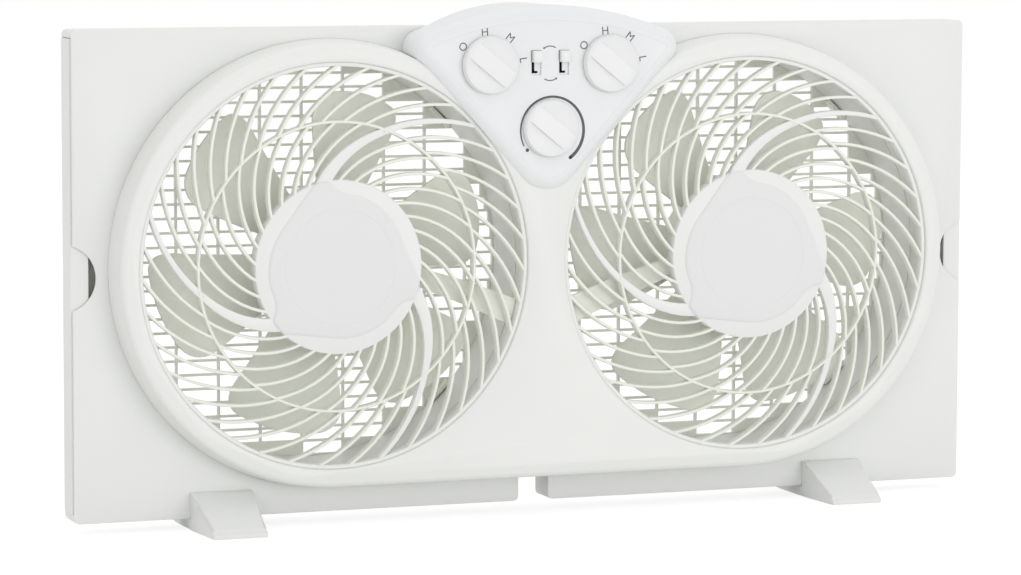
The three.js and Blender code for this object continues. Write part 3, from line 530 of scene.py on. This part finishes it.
# ---------- side plates, extenders and pleated screens ----------
def side_plate(name):
    """The left hollow plate: skins, top and bottom walls, inner rib and finger notch."""
    plate = block(name, -PLATE_END, -10, -FACE_Y, FACE_Y, PLATE_LOW, PLATE_HIGH)
    plate = cut(plate, block("step", -62.5, -5, -20, 20, 200, 320))
    pick(plate, "EDGE", lambda a, b: abs(a.y - b.y) > 20 and a.z != 200
         and not (a.x > -62 and a.z > 100))
    bpy.ops.mesh.bevel(offset=3.2 * U, segments=5, affect="EDGES")
    leave()
    plate = cut(plate, plug("fan cut-out", -FAN_X, FAN_Z, 133.0, -20, 20))
    plate = cut(plate, block("strip end", -FAN_X, -5, -20, 20, 120, 230))
    plate = cut(plate, block("hollow", -300, -12.2, -9.3, 9.3, 12.5, 302.3))
    plate = cut(plate, block("inner rib", -272.2, -270.8, -9.6, 9.6, 29.2, 294), "UNION")
    notch = plug("notch", -304.6, 157, 20.6, -13, -8.8, 96)
    plate = cut(plate, notch)
    soften(plate, 0.45, 2)
    smooth(plate, 28)
    return plate


def pleated_screen(name):
    """Thin sheet folded like an accordion between the inner rib and the rail."""
    folds, half = 22, 6.5
    bpy.ops.mesh.primitive_grid_add(x_subdivisions=folds * 2, y_subdivisions=12, size=1)
    obj = named(name)
    x0, x1 = -296.9, -272.6
    for v in obj.data.vertices:
        u, w = v.co.x + 0.5, v.co.y + 0.5
        k = round(u * folds * 2)
        z = SCREEN_LOW + (SCREEN_HIGH - SCREEN_LOW) * w
        v.co = Vector((x0 + (x1 - x0) * u, -half if k % 2 else half, z)) * U
    apply_modifier(obj, "SOLIDIFY", thickness=0.25 * U, offset=0)
    tidy(obj, 0.00001)
    return obj


def rail_lip(name):
    """Hemmed strip on the rail's inner edge that holds the screen."""
    lip = block(name, -291.2, -288.1, -8.95, -7.7, 30.4, SCREEN_HIGH)
    lip = cut(lip, block("hem", -289.0, -288.1, -8.5, -6.8, 30.4, SCREEN_HIGH), "UNION")
    soften(lip, 0.25, 2)
    smooth(lip, 30)
    return lip


# ---------- front grille ----------
def dome(r):
    t = max(0.0, (r - HUB_R) / (MOUTH_R - HUB_R))
    return 4.6 * t ** 1.6


def spiral(angle, r):
    """A point of the spiral through the middle ring at this angle, as x, z and heading."""
    outside = r > MID_RING_R
    sweep = -OUTER_SWEEP * (r - MID_RING_R) if outside else INNER_SWEEP * (MID_RING_R - r)
    a = math.radians(angle + sweep)
    slope = -math.radians(OUTER_SWEEP if outside else INNER_SWEEP) * r
    return r * math.cos(a), r * math.sin(a), a + math.atan(slope)


def vane(name, angle, r0, r1, wide, deep=5.5, steps=9):
    """One spiral vane: a section at the inner end, extruded and turned along its curve."""
    x, z, heading = spiral(angle, r0)
    y = HUB_FRONT + 0.4 + deep / 2
    bpy.ops.mesh.primitive_plane_add(size=1, location=(0, 0, 0))
    obj = named(name)
    half = wide(r0) / 2
    corners = [(-half, -deep / 2), (half, -deep / 2), (half, deep / 2), (-half, deep / 2)]
    for vertex, (across, back) in zip((obj.data.vertices[i] for i in (0, 1, 3, 2)), corners):
        vertex.co = Vector((x - across * math.sin(heading), y + back + dome(r0),
                            z + across * math.cos(heading))) * U
    enter(obj, "FACE")
    bpy.ops.mesh.select_all(action="SELECT")
    for i in range(1, steps + 1):
        r = r0 + (r1 - r0) * i / steps
        nx, nz, turn = spiral(angle, r)
        before = r0 + (r1 - r0) * (i - 1) / steps
        bpy.ops.mesh.extrude_region_move(TRANSFORM_OT_translate={
            "value": ((nx - x) * U, (dome(r) - dome(before)) * U, (nz - z) * U)})
        centre = (nx * U, (y + dome(r)) * U, nz * U)
        bpy.ops.transform.rotate(value=turn - heading, orient_axis="Y", center_override=centre)
        grow = wide(r) / wide(before)
        if abs(grow - 1) > 1e-4:
            side = Matrix.Rotation(-turn, 3, "Y")
            bpy.ops.transform.resize(value=(1, 1, grow), orient_matrix=side,
                                     orient_type="GLOBAL", orient_matrix_type="GLOBAL",
                                     center_override=centre)
        x, z, heading = nx, nz, turn
    bpy.ops.mesh.select_all(action="SELECT")
    bpy.ops.mesh.normals_make_consistent(inside=False)
    leave()
    # the front edges are round
    pick(obj, "EDGE", lambda a, b: (a.y + b.y) / 2 < y + dome(math.hypot(
        (a.x + b.x) / 2, (a.z + b.z) / 2)) - deep * 0.3 and (a - b).length > 2.5)
    bpy.ops.mesh.bevel(offset=0.6 * U, segments=2, affect="EDGES")
    leave()
    return obj


def swirl_radius(degrees):
    """Outline of the raised swirl on the hub, as a radius for an angle from its spoke."""
    table = [(0, 45.4), (14, 45.2), (20, 46.4), (24, 48.8), (26.5, 51.6), (28.5, 53.3),
             (38, 53.3), (40, 52.5), (45, 49.9), (50, 47.7), (55, 46.1), (60, 44.9), (65, 44.1),
             (70, 43.7), (78, 43.6), (95, 44.4), (120, 45.4)]
    d = degrees % 120
    for (d0, r0), (d1, r1) in zip(table, table[1:]):
        if d0 <= d <= d1:
            return r0 + (r1 - r0) * (d - d0) / (d1 - d0)


def front_grille(name):
    parts = [lathe("rim ring", [
        (GRILLE_IN_R, -31.7), (GRILLE_IN_R + 0.5, -32.3), (GRILLE_OUT_R - 0.4, -32.4),
        (GRILLE_OUT_R, -32.0), (GRILLE_OUT_R, -22.0), (GRILLE_IN_R, -22.0)], steps=ARC)]
    mid = HUB_FRONT + dome(MID_RING_R) + 0.1
    parts.append(lathe("middle ring", [
        (88.05, mid + 0.6), (88.5, mid), (89.5, mid), (89.95, mid + 0.6),
        (89.95, mid + 6.3), (88.05, mid + 6.3)], steps=144))
    parts.append(lathe("hub", [
        (0, HUB_FRONT - 0.25), (20, HUB_FRONT - 0.2), (40, HUB_FRONT),
        (HUB_R - 1.6, HUB_FRONT + 0.1), (HUB_R - 0.5, HUB_FRONT + 0.5),
        (HUB_R, HUB_FRONT + 1.4), (HUB_R, -29.4),
        (HUB_R - 2.2, -29.4), (HUB_R - 2.2, -35.2), (0, -35.2)], steps=120))
    corners = 240
    outline = []
    for k in range(corners):
        r, a = swirl_radius(360 * k / corners - SPOKE_ANGLE), math.tau * k / corners
        outline.append((r * math.cos(a), r * math.sin(a)))
    swirl = sheet_of("swirl", outline, HUB_FRONT + 0.6)
    pick(swirl, "FACE", lambda c, n: True)
    push(dy=-0.95)
    build_up([(0.3, 0.35), (1.2, 0.55), (0.4, 0.1)])
    leave()
    tidy(swirl)
    # a fine groove runs round the flat middle of the hub
    groove = lathe("groove", [(34.9, -40), (36, -40), (36, -38.65), (35.6, -38.55), (35.3, -38.55),
                              (34.9, -38.65)], steps=120)
    parts.append(cut(swirl, groove))
    finishes = {"rim ring": SHELL_WHITE, "middle ring": GRILLE_WHITE}
    for part in parts:
        part.data.materials.append(finishes.get(part.name.split(".")[0], HUB_WHITE))
    step_out, step_in = 360 / OUTER_VANES, 360 / INNER_VANES
    slim = vane("outer vane", SPOKE_ANGLE, 88.6, GRILLE_IN_R + 0.8, lambda r: VANE_WIDE)
    slim.data.materials.append(GRILLE_WHITE)
    parts += [placed(twin(slim, "outer vane"), turned_y(step_out * k))
              for k in range(OUTER_VANES) if k % (OUTER_VANES // SPOKES)]
    bpy.data.objects.remove(slim)
    inner = vane("inner vane", SPOKE_ANGLE, HUB_R - 1.2, 89.4, lambda r: VANE_WIDE)
    inner.data.materials.append(GRILLE_WHITE)
    parts += [placed(twin(inner, "inner vane"), turned_y(step_in * k))
              for k in range(INNER_VANES) if k % (INNER_VANES // SPOKES)]
    bpy.data.objects.remove(inner)
    spoke_out = vane("outer spoke", SPOKE_ANGLE, 87, GRILLE_IN_R + 0.8,
                     lambda r: 4.2 - 0.05 * (r - MID_RING_R))
    spoke_in = vane("inner spoke", SPOKE_ANGLE, HUB_R - 3, 89.5,
                    lambda r: 4.2 + 0.12 * (MID_RING_R - r))
    for spoke in (spoke_out, spoke_in):
        spoke.data.materials.append(SHELL_WHITE)
        parts += copies_round(spoke, SPOKES, "spoke")
    for a in (30, 150, 270):
        x, z = 42 * math.cos(math.radians(a)), 42 * math.sin(math.radians(a))
        post = cut(plug("motor post", x, z, 4.2, -35.4, -26.0, 24),
                   plug("pilot", x, z, 1.9, -34.2, -24.7, 16))
        post.data.materials.append(GRILLE_WHITE)
        parts.append(post)
    grille = join(name, parts)
    smooth(grille, 40)
    return grille


# ---------- rear grille ----------
def rear_grille(name, offset):
    """A thin wall with a net of slots: cells are inset one by one and opened."""
    cell_x, cell_z = 27.2, 8.9
    columns, rows = 12, 30
    half_rib, thick = 0.78, 2.4
    open_r, tunnel_r, wide_columns = 121, 124.3, 4
    bpy.ops.mesh.primitive_grid_add(x_subdivisions=columns, y_subdivisions=rows, size=1)
    obj = named(name)
    for v in obj.data.vertices:
        v.co = Vector((v.co.x * columns * cell_x + offset, 0, v.co.y * rows * cell_z)) * U

    def is_slot(c, n):
        return math.hypot(c.x, c.z) < open_r and abs(c.x - offset) < wide_columns * cell_x

    pick(obj, "FACE", is_slot)
    bpy.ops.mesh.inset(thickness=half_rib * U, use_individual=True)
    bpy.ops.mesh.delete(type="FACE")
    leave()
    for v in obj.data.vertices:
        v.co.y = (REAR_Y + 0.3 + thick) * U
    apply_modifier(obj, "SOLIDIFY", thickness=thick * U, offset=-1)
    low = min(v.co.y for v in obj.data.vertices)
    obj.data.transform(Matrix.Translation((0, (REAR_Y + 0.3) * U - low, 0)))
    disc = plug("plate", 0, 0, 128.6, REAR_Y - 3, REAR_Y + 6)
    obj = cut(obj, disc, "INTERSECT")
    # end column, clipped by the tunnel
    for side in (-1, 1):
        for k in range(-5, 5):
            z = (k + 0.5) * cell_z
            reach = math.sqrt(tunnel_r ** 2 - (abs(z) + cell_z / 2) ** 2)
            start = wide_columns * cell_x + 0.8 + side * offset
            if reach - start < 3:
                continue
            x0, x1 = sorted((side * start, side * reach))
            obj = cut(obj, block("slot", x0, x1, REAR_Y - 1, REAR_Y + 5, z - 3.65, z + 3.65))
    for a in (45, 135, 225, 315):
        tab = block("tab", -9, 9, REAR_Y - 6, REAR_Y + 1.3, 121.6, 124.4)
        soften(tab, 0.5)
        obj = join(name, [obj, placed(tab, turned_y(a - 90))])
    soften(obj, 0.25, 1, 50)
    smooth(obj, 30)
    return obj


# ---------- blades ----------
PITCH = math.radians(25)


def bezier2(a, b, c, t):
    return [(1 - t) ** 2 * p + 2 * t * (1 - t) * q + t * t * s for p, q, s in zip(a, b, c)]


def edge_path(pieces, t):
    """A point at share t along joined quadratic curves."""
    k = min(int(t * len(pieces)), len(pieces) - 1)
    return bezier2(*pieces[k], t * len(pieces) - k)


def blade_point(u, v):
    """A blade's plan: across from its trailing to its leading side (u), root to tip (v)."""
    left = [((-13, 38), (-24, 60), (-32, 86)), ((-32, 86), (-33, 101), (-18, 105))]
    right = [((16, 38), (23, 64), (30, 84)), ((30, 84), (35, 99), (26, 104))]
    base = lambda t: (-13 + 29 * t, 38)
    tip = lambda t: bezier2((-18, 105), (4, 111), (26, 104), t)
    lv, rv, bu, tu = edge_path(left, v), edge_path(right, v), base(u), tip(u)
    corners = (base(0), base(1), tip(0), tip(1))
    return [(1 - v) * bu[i] + v * tu[i] + (1 - u) * lv[i] + u * rv[i]
            - ((1 - u) * (1 - v) * corners[0][i] + u * (1 - v) * corners[1][i]
               + (1 - u) * v * corners[2][i] + u * v * corners[3][i]) for i in (0, 1)]


def blade():
    bpy.ops.mesh.primitive_grid_add(x_subdivisions=14, y_subdivisions=14, size=1)
    obj = named("blade")
    for v in obj.data.vertices:
        x, z = blade_point(v.co.x + 0.5, v.co.y + 0.5)
        # pitch and camber of the thin plate
        along = x / math.cos(PITCH)
        t = along / 88 + 0.5
        lift = -5 * 4 * t * (1 - t) + 3 + 0.9
        y = math.tan(PITCH) * x + lift / math.cos(PITCH)
        v.co = Vector((x, y, z)) * U
    apply_modifier(obj, "SOLIDIFY", thickness=1.9 * U, offset=0)
    soften(obj, 0.5, 2, 50)
    return obj


def rotor(name, phase):
    hub = lathe("blade hub", [
        (3.3, 0), (9, 0), (9, 12), (37, 12), (40, 9), (40, -15), (41.4, -15), (42, -14.2),
        (42, 9.5), (41.2, 12), (38.8, 13.7), (36, 14), (3.3, 14)], steps=96)
    one = blade()
    ring = copies_round(one, 6, "blade")
    obj = join(name, [hub] + ring)
    placed(obj, turned_y(phase - 90))
    smooth(obj, 40)
    return obj


# ---------- control panel ----------
def shield_outline(inset=0.0):
    """Shield outline: round tip at the bottom, straight flanks, tight shoulders, long arch."""
    i = inset
    half = arc_points(0, 228.5, 24.5 - i, -90, -42.1, 9)
    half += arc_points(76.6, 293.9, 11.5 - i, -42.1, 67.7, 12)
    half += arc_points(0, 108.4, 212 - i, 67.7, 90, 22)[1:]
    return half + [(-x, z) for x, z in half[-2:0:-1]]


def fascia():
    face = stepped("fascia", shield_outline, [
        (0, -28.6), (0.25, -30.4), (0.8, -32.2), (1.7, -33.9), (2.9, -35.4), (4.4, -36.7),
        (6.1, -37.6), (7.8, -38.0), (8.9, -38.0), (9.2, -37.8), (9.7, -37.74)], -11.8)
    face = cut(face, stepped("inner", shield_outline, [
        (2.6, -30.0), (4.4, -33.0), (7.0, -35.2)], -9))
    clear = stepped("clear", raised_outline(BASE_R + 0.3, 278.5), [
        (0, -12.4), (2.3, -31.3), (3.4, -33.4), (6.05, RIM_Y - 0.3)], 0)
    face = cut(face, clear)
    for x, z in ((-SPEED_X, SPEED_Z), (SPEED_X, SPEED_Z), (0, THERMO_Z)):
        face = cut(face, plug("stem hole", x, z, 3.5, -40, -33, 32))
    for x in (-SLIDE_X, SLIDE_X):
        face = cut(face, block("slot", x - 3.5, x + 3.5, -40, -33, SLIDE_Z - 7.75, SLIDE_Z + 7.75))
    smooth(face, 30)
    return face


def control_box():
    top, r = 320.4, 126.0
    low = FAN_Z + REAR_WALL_R + 0.3

    def outline(i):
        x = 60 - i
        a = math.acos(x / (r - i))
        arch = [((r - i) * math.cos(b), top - r + (r - i) * math.sin(b))
                for b in (a + (math.pi - 2 * a) * k / 48 for k in range(49))]
        return [(-x, low + i), (x, low + i)] + arch

    box = prism("control_cover", outline(0), -FACE_Y, REAR_Y)
    pick(box, "EDGE", lambda a, b: a.y > 28 and b.y > 28 or (
        abs(abs(a.x) - 60) < 0.1 and abs(abs(b.x) - 60) < 0.1 and a.z > 300 and b.z > 300
        and abs(a.y - b.y) > 5))
    bpy.ops.mesh.bevel(offset=1.6 * U, segments=4, affect="EDGES")
    leave()
    box = cut(box, prism("inner", outline(2.2), -14, REAR_Y - 2.2))
    smooth(box, 30)
    return box


def knob(name):
    body = lathe(name, [
        (0, KNOB_FRONT), (13.5, KNOB_FRONT + 0.05), (16.3, KNOB_FRONT + 0.3),
        (17.2, KNOB_FRONT + 0.8), (17.7, KNOB_FRONT + 1.7), (18, -38.6), (17.8, -38.5),
        (3.2, -38.5), (3.2, -25.3), (0, -25.3)], steps=96)
    bar_half, bar_turn = 5.6, 141
    for side in (-1, 1):
        # a hollow beside the grip bar: deep and straight at the bar, running out at the rim
        bpy.ops.mesh.primitive_uv_sphere_add(segments=64, ring_count=32, radius=1,
                                             scale=(15.5 * U, 2.6 * U, 13.2 * U))
        scoop = placed(named("scoop"), shift(0, KNOB_FRONT - 0.3, side * bar_half))
        low, high = (bar_half, 20) if side > 0 else (-20, -bar_half)
        scoop = cut(scoop, block("half", -20, 20, -60, -30, low, high), "INTERSECT")
        body = cut(body, placed(scoop, turned_y(bar_turn)))
    soften(body, 0.3, 2, 30)
    smooth(body, 40)
    return body


def slide_key(name):
    """White key that stands out of its slot, on a narrow tongue through the slot's floor."""
    key = block(name, -2.7, 3.1, -41.2, -36.65, 0.25, 7.45)
    soften(key, 0.6, 2)
    tongue = block("tongue", -2.2, -1.0, -37.2, -31.7, 1.25, 6.45)
    key = cut(key, tongue, "UNION")
    smooth(key, 35)
    return key


def slot_liner(name):
    """Recessed white floor of a slide slot, open only where the key's tongue runs."""
    liner = block(name, -3.6, 3.6, -36.4, -35.5, -7.9, 7.9)
    liner = cut(liner, block("way", -2.5, -0.7, -40, -30, -6.6, 7.2))
    liner = cut(liner, block("end", -1.2, 1.4, -40, -30, -6.6, -5.2))
    soften(liner, 0.15, 1)
    return liner


def foot(name):
    """Saddle foot: two sloping wedges with a low lip round the base."""
    inner = 11.8
    profile = [(-inner, 23), (-inner - 2.6, 23), (-inner - 4.6, 22.2), (-50.6, 5.4), (-52.6, 3.6),
               (-54.5, 2.6), (-54.5, 0), (54.5, 0), (54.5, 2.6), (52.6, 3.6), (50.6, 5.4),
               (inner + 4.6, 22.2), (inner + 2.6, 23), (inner, 23), (inner, 6.7), (-inner, 6.7)]
    bpy.ops.mesh.primitive_circle_add(vertices=len(profile), radius=0.1, fill_type="NGON")
    obj = named(name)
    for v, (y, z) in zip(obj.data.vertices, profile):
        v.co = Vector((-20, y, z)) * U
    pick(obj, "FACE", lambda c, n: True)
    push(dx=40)
    leave()
    tidy(obj)
    w = 19.5
    plan = [(-w + 3, -60), (w - 3, -60), (w, -20), (w, 20), (w - 3, 60), (-w + 3, 60), (-w, 20),
            (-w, -20)]
    bpy.ops.mesh.primitive_circle_add(vertices=8, radius=0.1, fill_type="NGON")
    trim = named("plan")
    for v, (x, y) in zip(trim.data.vertices, plan):
        v.co = Vector((x, y, -5)) * U
    pick(trim, "FACE", lambda c, n: True)
    push(dz=40)
    leave()
    tidy(trim)
    obj = cut(obj, trim, "INTERSECT")
    pick(obj, "EDGE", lambda a, b: a.x * b.x > 100 and min(a.z, b.z) > 4 and abs(a.y - b.y) > 20)
    bpy.ops.mesh.bevel(offset=3.6 * U, segments=5, affect="EDGES")
    leave()
    soften(obj, 1.0, 3, 28)
    obj = cut(obj, block("hollow", -w + 5, w - 5, -48, 48, -1, 2.4))
    smooth(obj, 35)
    return obj


# ---------- printed marks ----------
def letter(name, text, x, z, turn, size=7.0):
    bpy.ops.object.text_add(rotation=(math.pi / 2, 0, 0))
    obj = bpy.context.object
    obj.data.body = text
    obj.data.size = size * U
    obj.data.align_x = "CENTER"
    obj.data.align_y = "CENTER"
    obj.data.extrude = 0.03 * U
    select_only(obj)
    bpy.ops.object.convert(target="MESH")
    obj = named(name)
    tidy(obj)
    return placed(obj, shift(x, PANEL_FRONT + 0.21, z) @ turned_y(turn))


def arc_mark(name, x, z, r, start, end, width, steps=48):
    """A printed arc, from a ring of corners laid along it; width is a function of the share."""
    points = []
    for side, order in ((-1, range(steps + 1)), (1, range(steps, -1, -1))):
        for k in order:
            a = math.radians(start + (end - start) * k / steps)
            edge = r + side * width(k / steps) / 2
            points.append((x + edge * math.cos(a), z + edge * math.sin(a)))
    return prism(name, points, PRINT_BACK, PRINT_FRONT)


def printed_marks():
    marks = []
    for x in (-SPEED_X, SPEED_X):
        for text, angle, r, turn in (("O", 146.7, 20.6, 56.7), ("H", 99, 20.4, 4),
                                     ("M", 50.6, 21.2, -39.4), ("L", 7.3, 22.2, -82.7)):
            a = math.radians(angle)
            marks.append(letter("letter", text, x + r * math.cos(a), SPEED_Z + r * math.sin(a),
                                turn))
    bend = 7.0
    for z, low, high, tip in ((SLIDE_Z + 3.2, 122, 58, 122), (SLIDE_Z - 4.2, 238, 302, 302)):
        marks.append(arc_mark("arrow arc", 0, z, bend, low, high, lambda t: 0.65, 16))
        a = math.radians(tip)
        px, pz = bend * math.cos(a), z + bend * math.sin(a)
        out, drop = (1 if px > 0 else -1), (-1 if z > SLIDE_Z else 1)
        points = [(px - out * 0.4, pz + drop * 0.8), (px + out * 1.1, pz + drop * 0.7),
                  (px + out * 0.5, pz - drop * 0.8)]
        marks.append(prism("arrow head", points, PRINT_BACK, PRINT_FRONT))
    lettering = join("printed_marks", marks)
    cx, cz, r = 1.6, THERMO_Z - 1.6, 21.0
    arc = arc_mark("dial_arc", cx, cz, r, 207, -55, lambda t: 0.8 + 1.35 * t)
    a = math.radians(216)
    dot = plug("dot", cx + 20.4 * math.cos(a), cz + 20.4 * math.sin(a), 1.15,
               PRINT_BACK, PRINT_FRONT, 24)
    end = math.radians(-55)
    cap = plug("cap", cx + r * math.cos(end), cz + r * math.sin(end), 1.05,
               PRINT_BACK, PRINT_FRONT, 24)
    return lettering, join("dial_marks", [arc, dot, cap])


# ---------- assembly ----------
finished(front_shell(), "fan_body", SHELL_WHITE, "shell_white", "front_housing")
finished(rear_shell(), "fan_body", SHELL_WHITE, "shell_white", "rear_housing")
left_plate = side_plate("left_plate")
right_plate = placed(twin(left_plate, "right_plate"), MIRROR)
finished(left_plate, "fan_body", PLATE_WHITE, "panel_white", "left_side_panel")
finished(right_plate, "fan_body", PLATE_WHITE, "panel_white", "right_side_panel")
left_pleats = pleated_screen("left_pleats")
right_pleats = placed(twin(left_pleats, "right_pleats"), MIRROR)
for side, sign, pleats in (("left", -1, left_pleats), ("right", 1, right_pleats)):
    pleats.data.materials.append(PLEAT_WHITE)
    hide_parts(side + "_pleated_screen")
    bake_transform(pleats)
    dress(side + "_extender", PLATE_WHITE)
    lip = rail_lip(side + "_rail_lip")
    if sign > 0:
        placed(lip, MIRROR)
    finished(lip, side + "_pull_out", PLATE_WHITE, "panel_white")

left_grille = front_grille("left_spiral_grille")
right_grille = placed(twin(left_grille, "right_spiral_grille"), shift(FAN_X, 0, FAN_Z))
placed(left_grille, shift(-FAN_X, 0, FAN_Z))
back = placed(rear_grille("left_slotted_grille", -2.9), shift(-FAN_X, 0, FAN_Z))
other_back = placed(rear_grille("right_slotted_grille", -8.9), shift(FAN_X, 0, FAN_Z))
finished(left_grille, "fan_body", None, "grille_white", "left_front_grille")
finished(right_grille, "fan_body", None, "grille_white", "right_front_grille")
finished(back, "fan_body", REAR_WHITE, "shell_white", "left_rear_grille")
finished(other_back, "fan_body", REAR_WHITE, "shell_white", "right_rear_grille")

for side, sign, phase in SIDES:
    blades = placed(rotor(side + "_blades", phase), shift(sign * FAN_X, 0, FAN_Z))
    finished(blades, side + "_rotor", BLADE_WHITE, "blade_white", side + "_fan_blades")
    dress(side + "_wire_channel", GRILLE_WHITE, 0.5)
    dress(side + "_motor", MOTOR_STEEL, 0.5)
    dress(side + "_motor_shaft", SHAFT_STEEL, 0.3)
    dress(side + "_blade_nut", SWITCH_BLACK, 0.3)
    for i in (1, 2, 3):
        dress(f"{side}_motor_screw_{i}", ZINC, 0.2)
    stand = placed(foot(side + "_stand"), shift(sign * 206))
    finished(stand, "fan_body", PLATE_WHITE, "panel_white", side + "_foot")
    dress(side + "_speed_switch", SWITCH_BLACK)
    dress(side + "_airflow_switch", SWITCH_BLACK, 0.2)
    key = placed(slide_key(side + "_key"), shift(sign * SLIDE_X, 0, SLIDE_Z))
    finished(key, side + "_airflow_slider", KNOB_WHITE, "control_white", side + "_airflow_key")
    liner = placed(slot_liner(side + "_slot_liner"), shift(sign * SLIDE_X, 0, SLIDE_Z))
    finished(liner, "fan_body", PANEL_WHITE, "control_white")

finished(fascia(), "fan_body", PANEL_WHITE, "control_white", "control_panel")
finished(control_box(), "fan_body", SHELL_WHITE, "shell_white", "control_box")
dial = knob("thermostat_dial_cap")
left_dial = placed(twin(dial, "left_dial_cap"), shift(-SPEED_X, 0, SPEED_Z))
right_dial = placed(twin(dial, "right_dial_cap"), shift(SPEED_X, 0, SPEED_Z))
placed(dial, shift(0, 0, THERMO_Z))
finished(left_dial, "left_speed_dial", KNOB_WHITE, "control_white", "left_speed_knob")
finished(right_dial, "right_speed_dial", KNOB_WHITE, "control_white", "right_speed_knob")
finished(dial, "thermostat_dial", KNOB_WHITE, "control_white", "thermostat_knob")
marks, dial_marks = printed_marks()
finished(marks, "fan_body", INK, "black_plastic")
finished(dial_marks, "fan_body", BLACK_INK, "black_plastic")
dress("thermostat", INNER_GREY)
dress("cord_gland", SWITCH_BLACK, 0.3)
for i in range(1, 7):
    dress(f"body_screw_{i}", ZINC, 0.2)


# ---------- floor, light and camera ----------
def seen_directly(tree):
    """One for camera, glossy and transmission rays, and zero for the light that they gather."""
    paths = tree.nodes.new("ShaderNodeLightPath")
    seen = tree.nodes.new("ShaderNodeMath")
    seen.operation = "MAXIMUM"
    either = tree.nodes.new("ShaderNodeMath")
    either.operation = "MAXIMUM"
    tree.links.new(paths.outputs["Is Camera Ray"], seen.inputs[0])
    tree.links.new(paths.outputs["Is Glossy Ray"], seen.inputs[1])
    tree.links.new(seen.outputs[0], either.inputs[0])
    tree.links.new(paths.outputs["Is Transmission Ray"], either.inputs[1])
    return either.outputs[0]


FLOOR_SHADE, FLOOR_SHADE_SEEN, FLOOR_GLOW = 0.9, 0.34, 0.78


def floor():
    """White floor that fades into the background and still takes the fan's shadow."""
    bpy.ops.mesh.primitive_plane_add(size=6, location=(0, 0.5, 0))
    obj = named("floor")
    mat = bpy.data.materials.new("floor white")
    mat.use_nodes = True
    tree = mat.node_tree
    tree.nodes.clear()
    out = tree.nodes.new("ShaderNodeOutputMaterial")
    plain = tree.nodes.new("ShaderNodeBsdfDiffuse")
    plain.inputs["Color"].default_value = [FLOOR_SHADE] * 3 + [1]
    dim = tree.nodes.new("ShaderNodeBsdfDiffuse")
    dim.inputs["Color"].default_value = [FLOOR_SHADE_SEEN] * 3 + [1]
    glow = tree.nodes.new("ShaderNodeEmission")
    glow.inputs["Strength"].default_value = FLOOR_GLOW
    both = tree.nodes.new("ShaderNodeAddShader")
    mix = tree.nodes.new("ShaderNodeMixShader")
    tree.links.new(dim.outputs[0], both.inputs[0])
    tree.links.new(glow.outputs[0], both.inputs[1])
    tree.links.new(seen_directly(tree), mix.inputs[0])
    tree.links.new(plain.outputs[0], mix.inputs[1])
    tree.links.new(both.outputs[0], mix.inputs[2])
    tree.links.new(mix.outputs[0], out.inputs["Surface"])
    obj.data.materials.append(mat)


def daylight():
    world = bpy.data.worlds.new("studio")
    bpy.context.scene.world = world
    world.use_nodes = True
    tree = world.node_tree
    shade = tree.nodes["Background"]
    shade.inputs["Color"].default_value = (1, 1, 1, 1)
    shade.inputs["Strength"].default_value = 0.85
    white = tree.nodes.new("ShaderNodeBackground")
    white.inputs["Color"].default_value = (1, 1, 1, 1)
    mix = tree.nodes.new("ShaderNodeMixShader")
    tree.links.new(seen_directly(tree), mix.inputs[0])
    tree.links.new(shade.outputs[0], mix.inputs[1])
    tree.links.new(white.outputs[0], mix.inputs[2])
    tree.links.new(mix.outputs[0], tree.nodes["World Output"].inputs["Surface"])


def lamp(name, place, aim, size, power):
    data = bpy.data.lights.new(name, "AREA")
    data.shape = "RECTANGLE"
    data.size, data.size_y = size
    data.energy = power
    obj = bpy.data.objects.new(name, data)
    bpy.context.scene.collection.objects.link(obj)
    obj.location = place
    obj.rotation_euler = (Vector(aim) - Vector(place)).to_track_quat("-Z", "Y").to_euler()


floor()
daylight()
lamp("key", (-1.3, -2.5, 1.1), (0, 0, 0.15), (1.6, 1.4), 4)
lamp("fill", (1.1, -2.6, 0.35), (0, 0, 0.15), (1.6, 0.7), 10)
lamp("top", (0, 0.3, 2.4), (0, 0, 0.2), (2.2, 1.4), 5)

camera_data = bpy.data.cameras.new("camera")
camera_data.lens = 145.07
camera_data.sensor_width = 36
camera = bpy.data.objects.new("camera", camera_data)
bpy.context.scene.collection.objects.link(camera)
camera.location = (-0.92593, -2.41756, 0.40488)
look_down, roll, heading = 5.82, -0.18, -20.70
camera.rotation_euler = [math.radians(a) for a in (90 - look_down, roll, heading)]
bpy.context.scene.camera = camera
bpy.context.scene.view_settings.view_transform = "Standard"
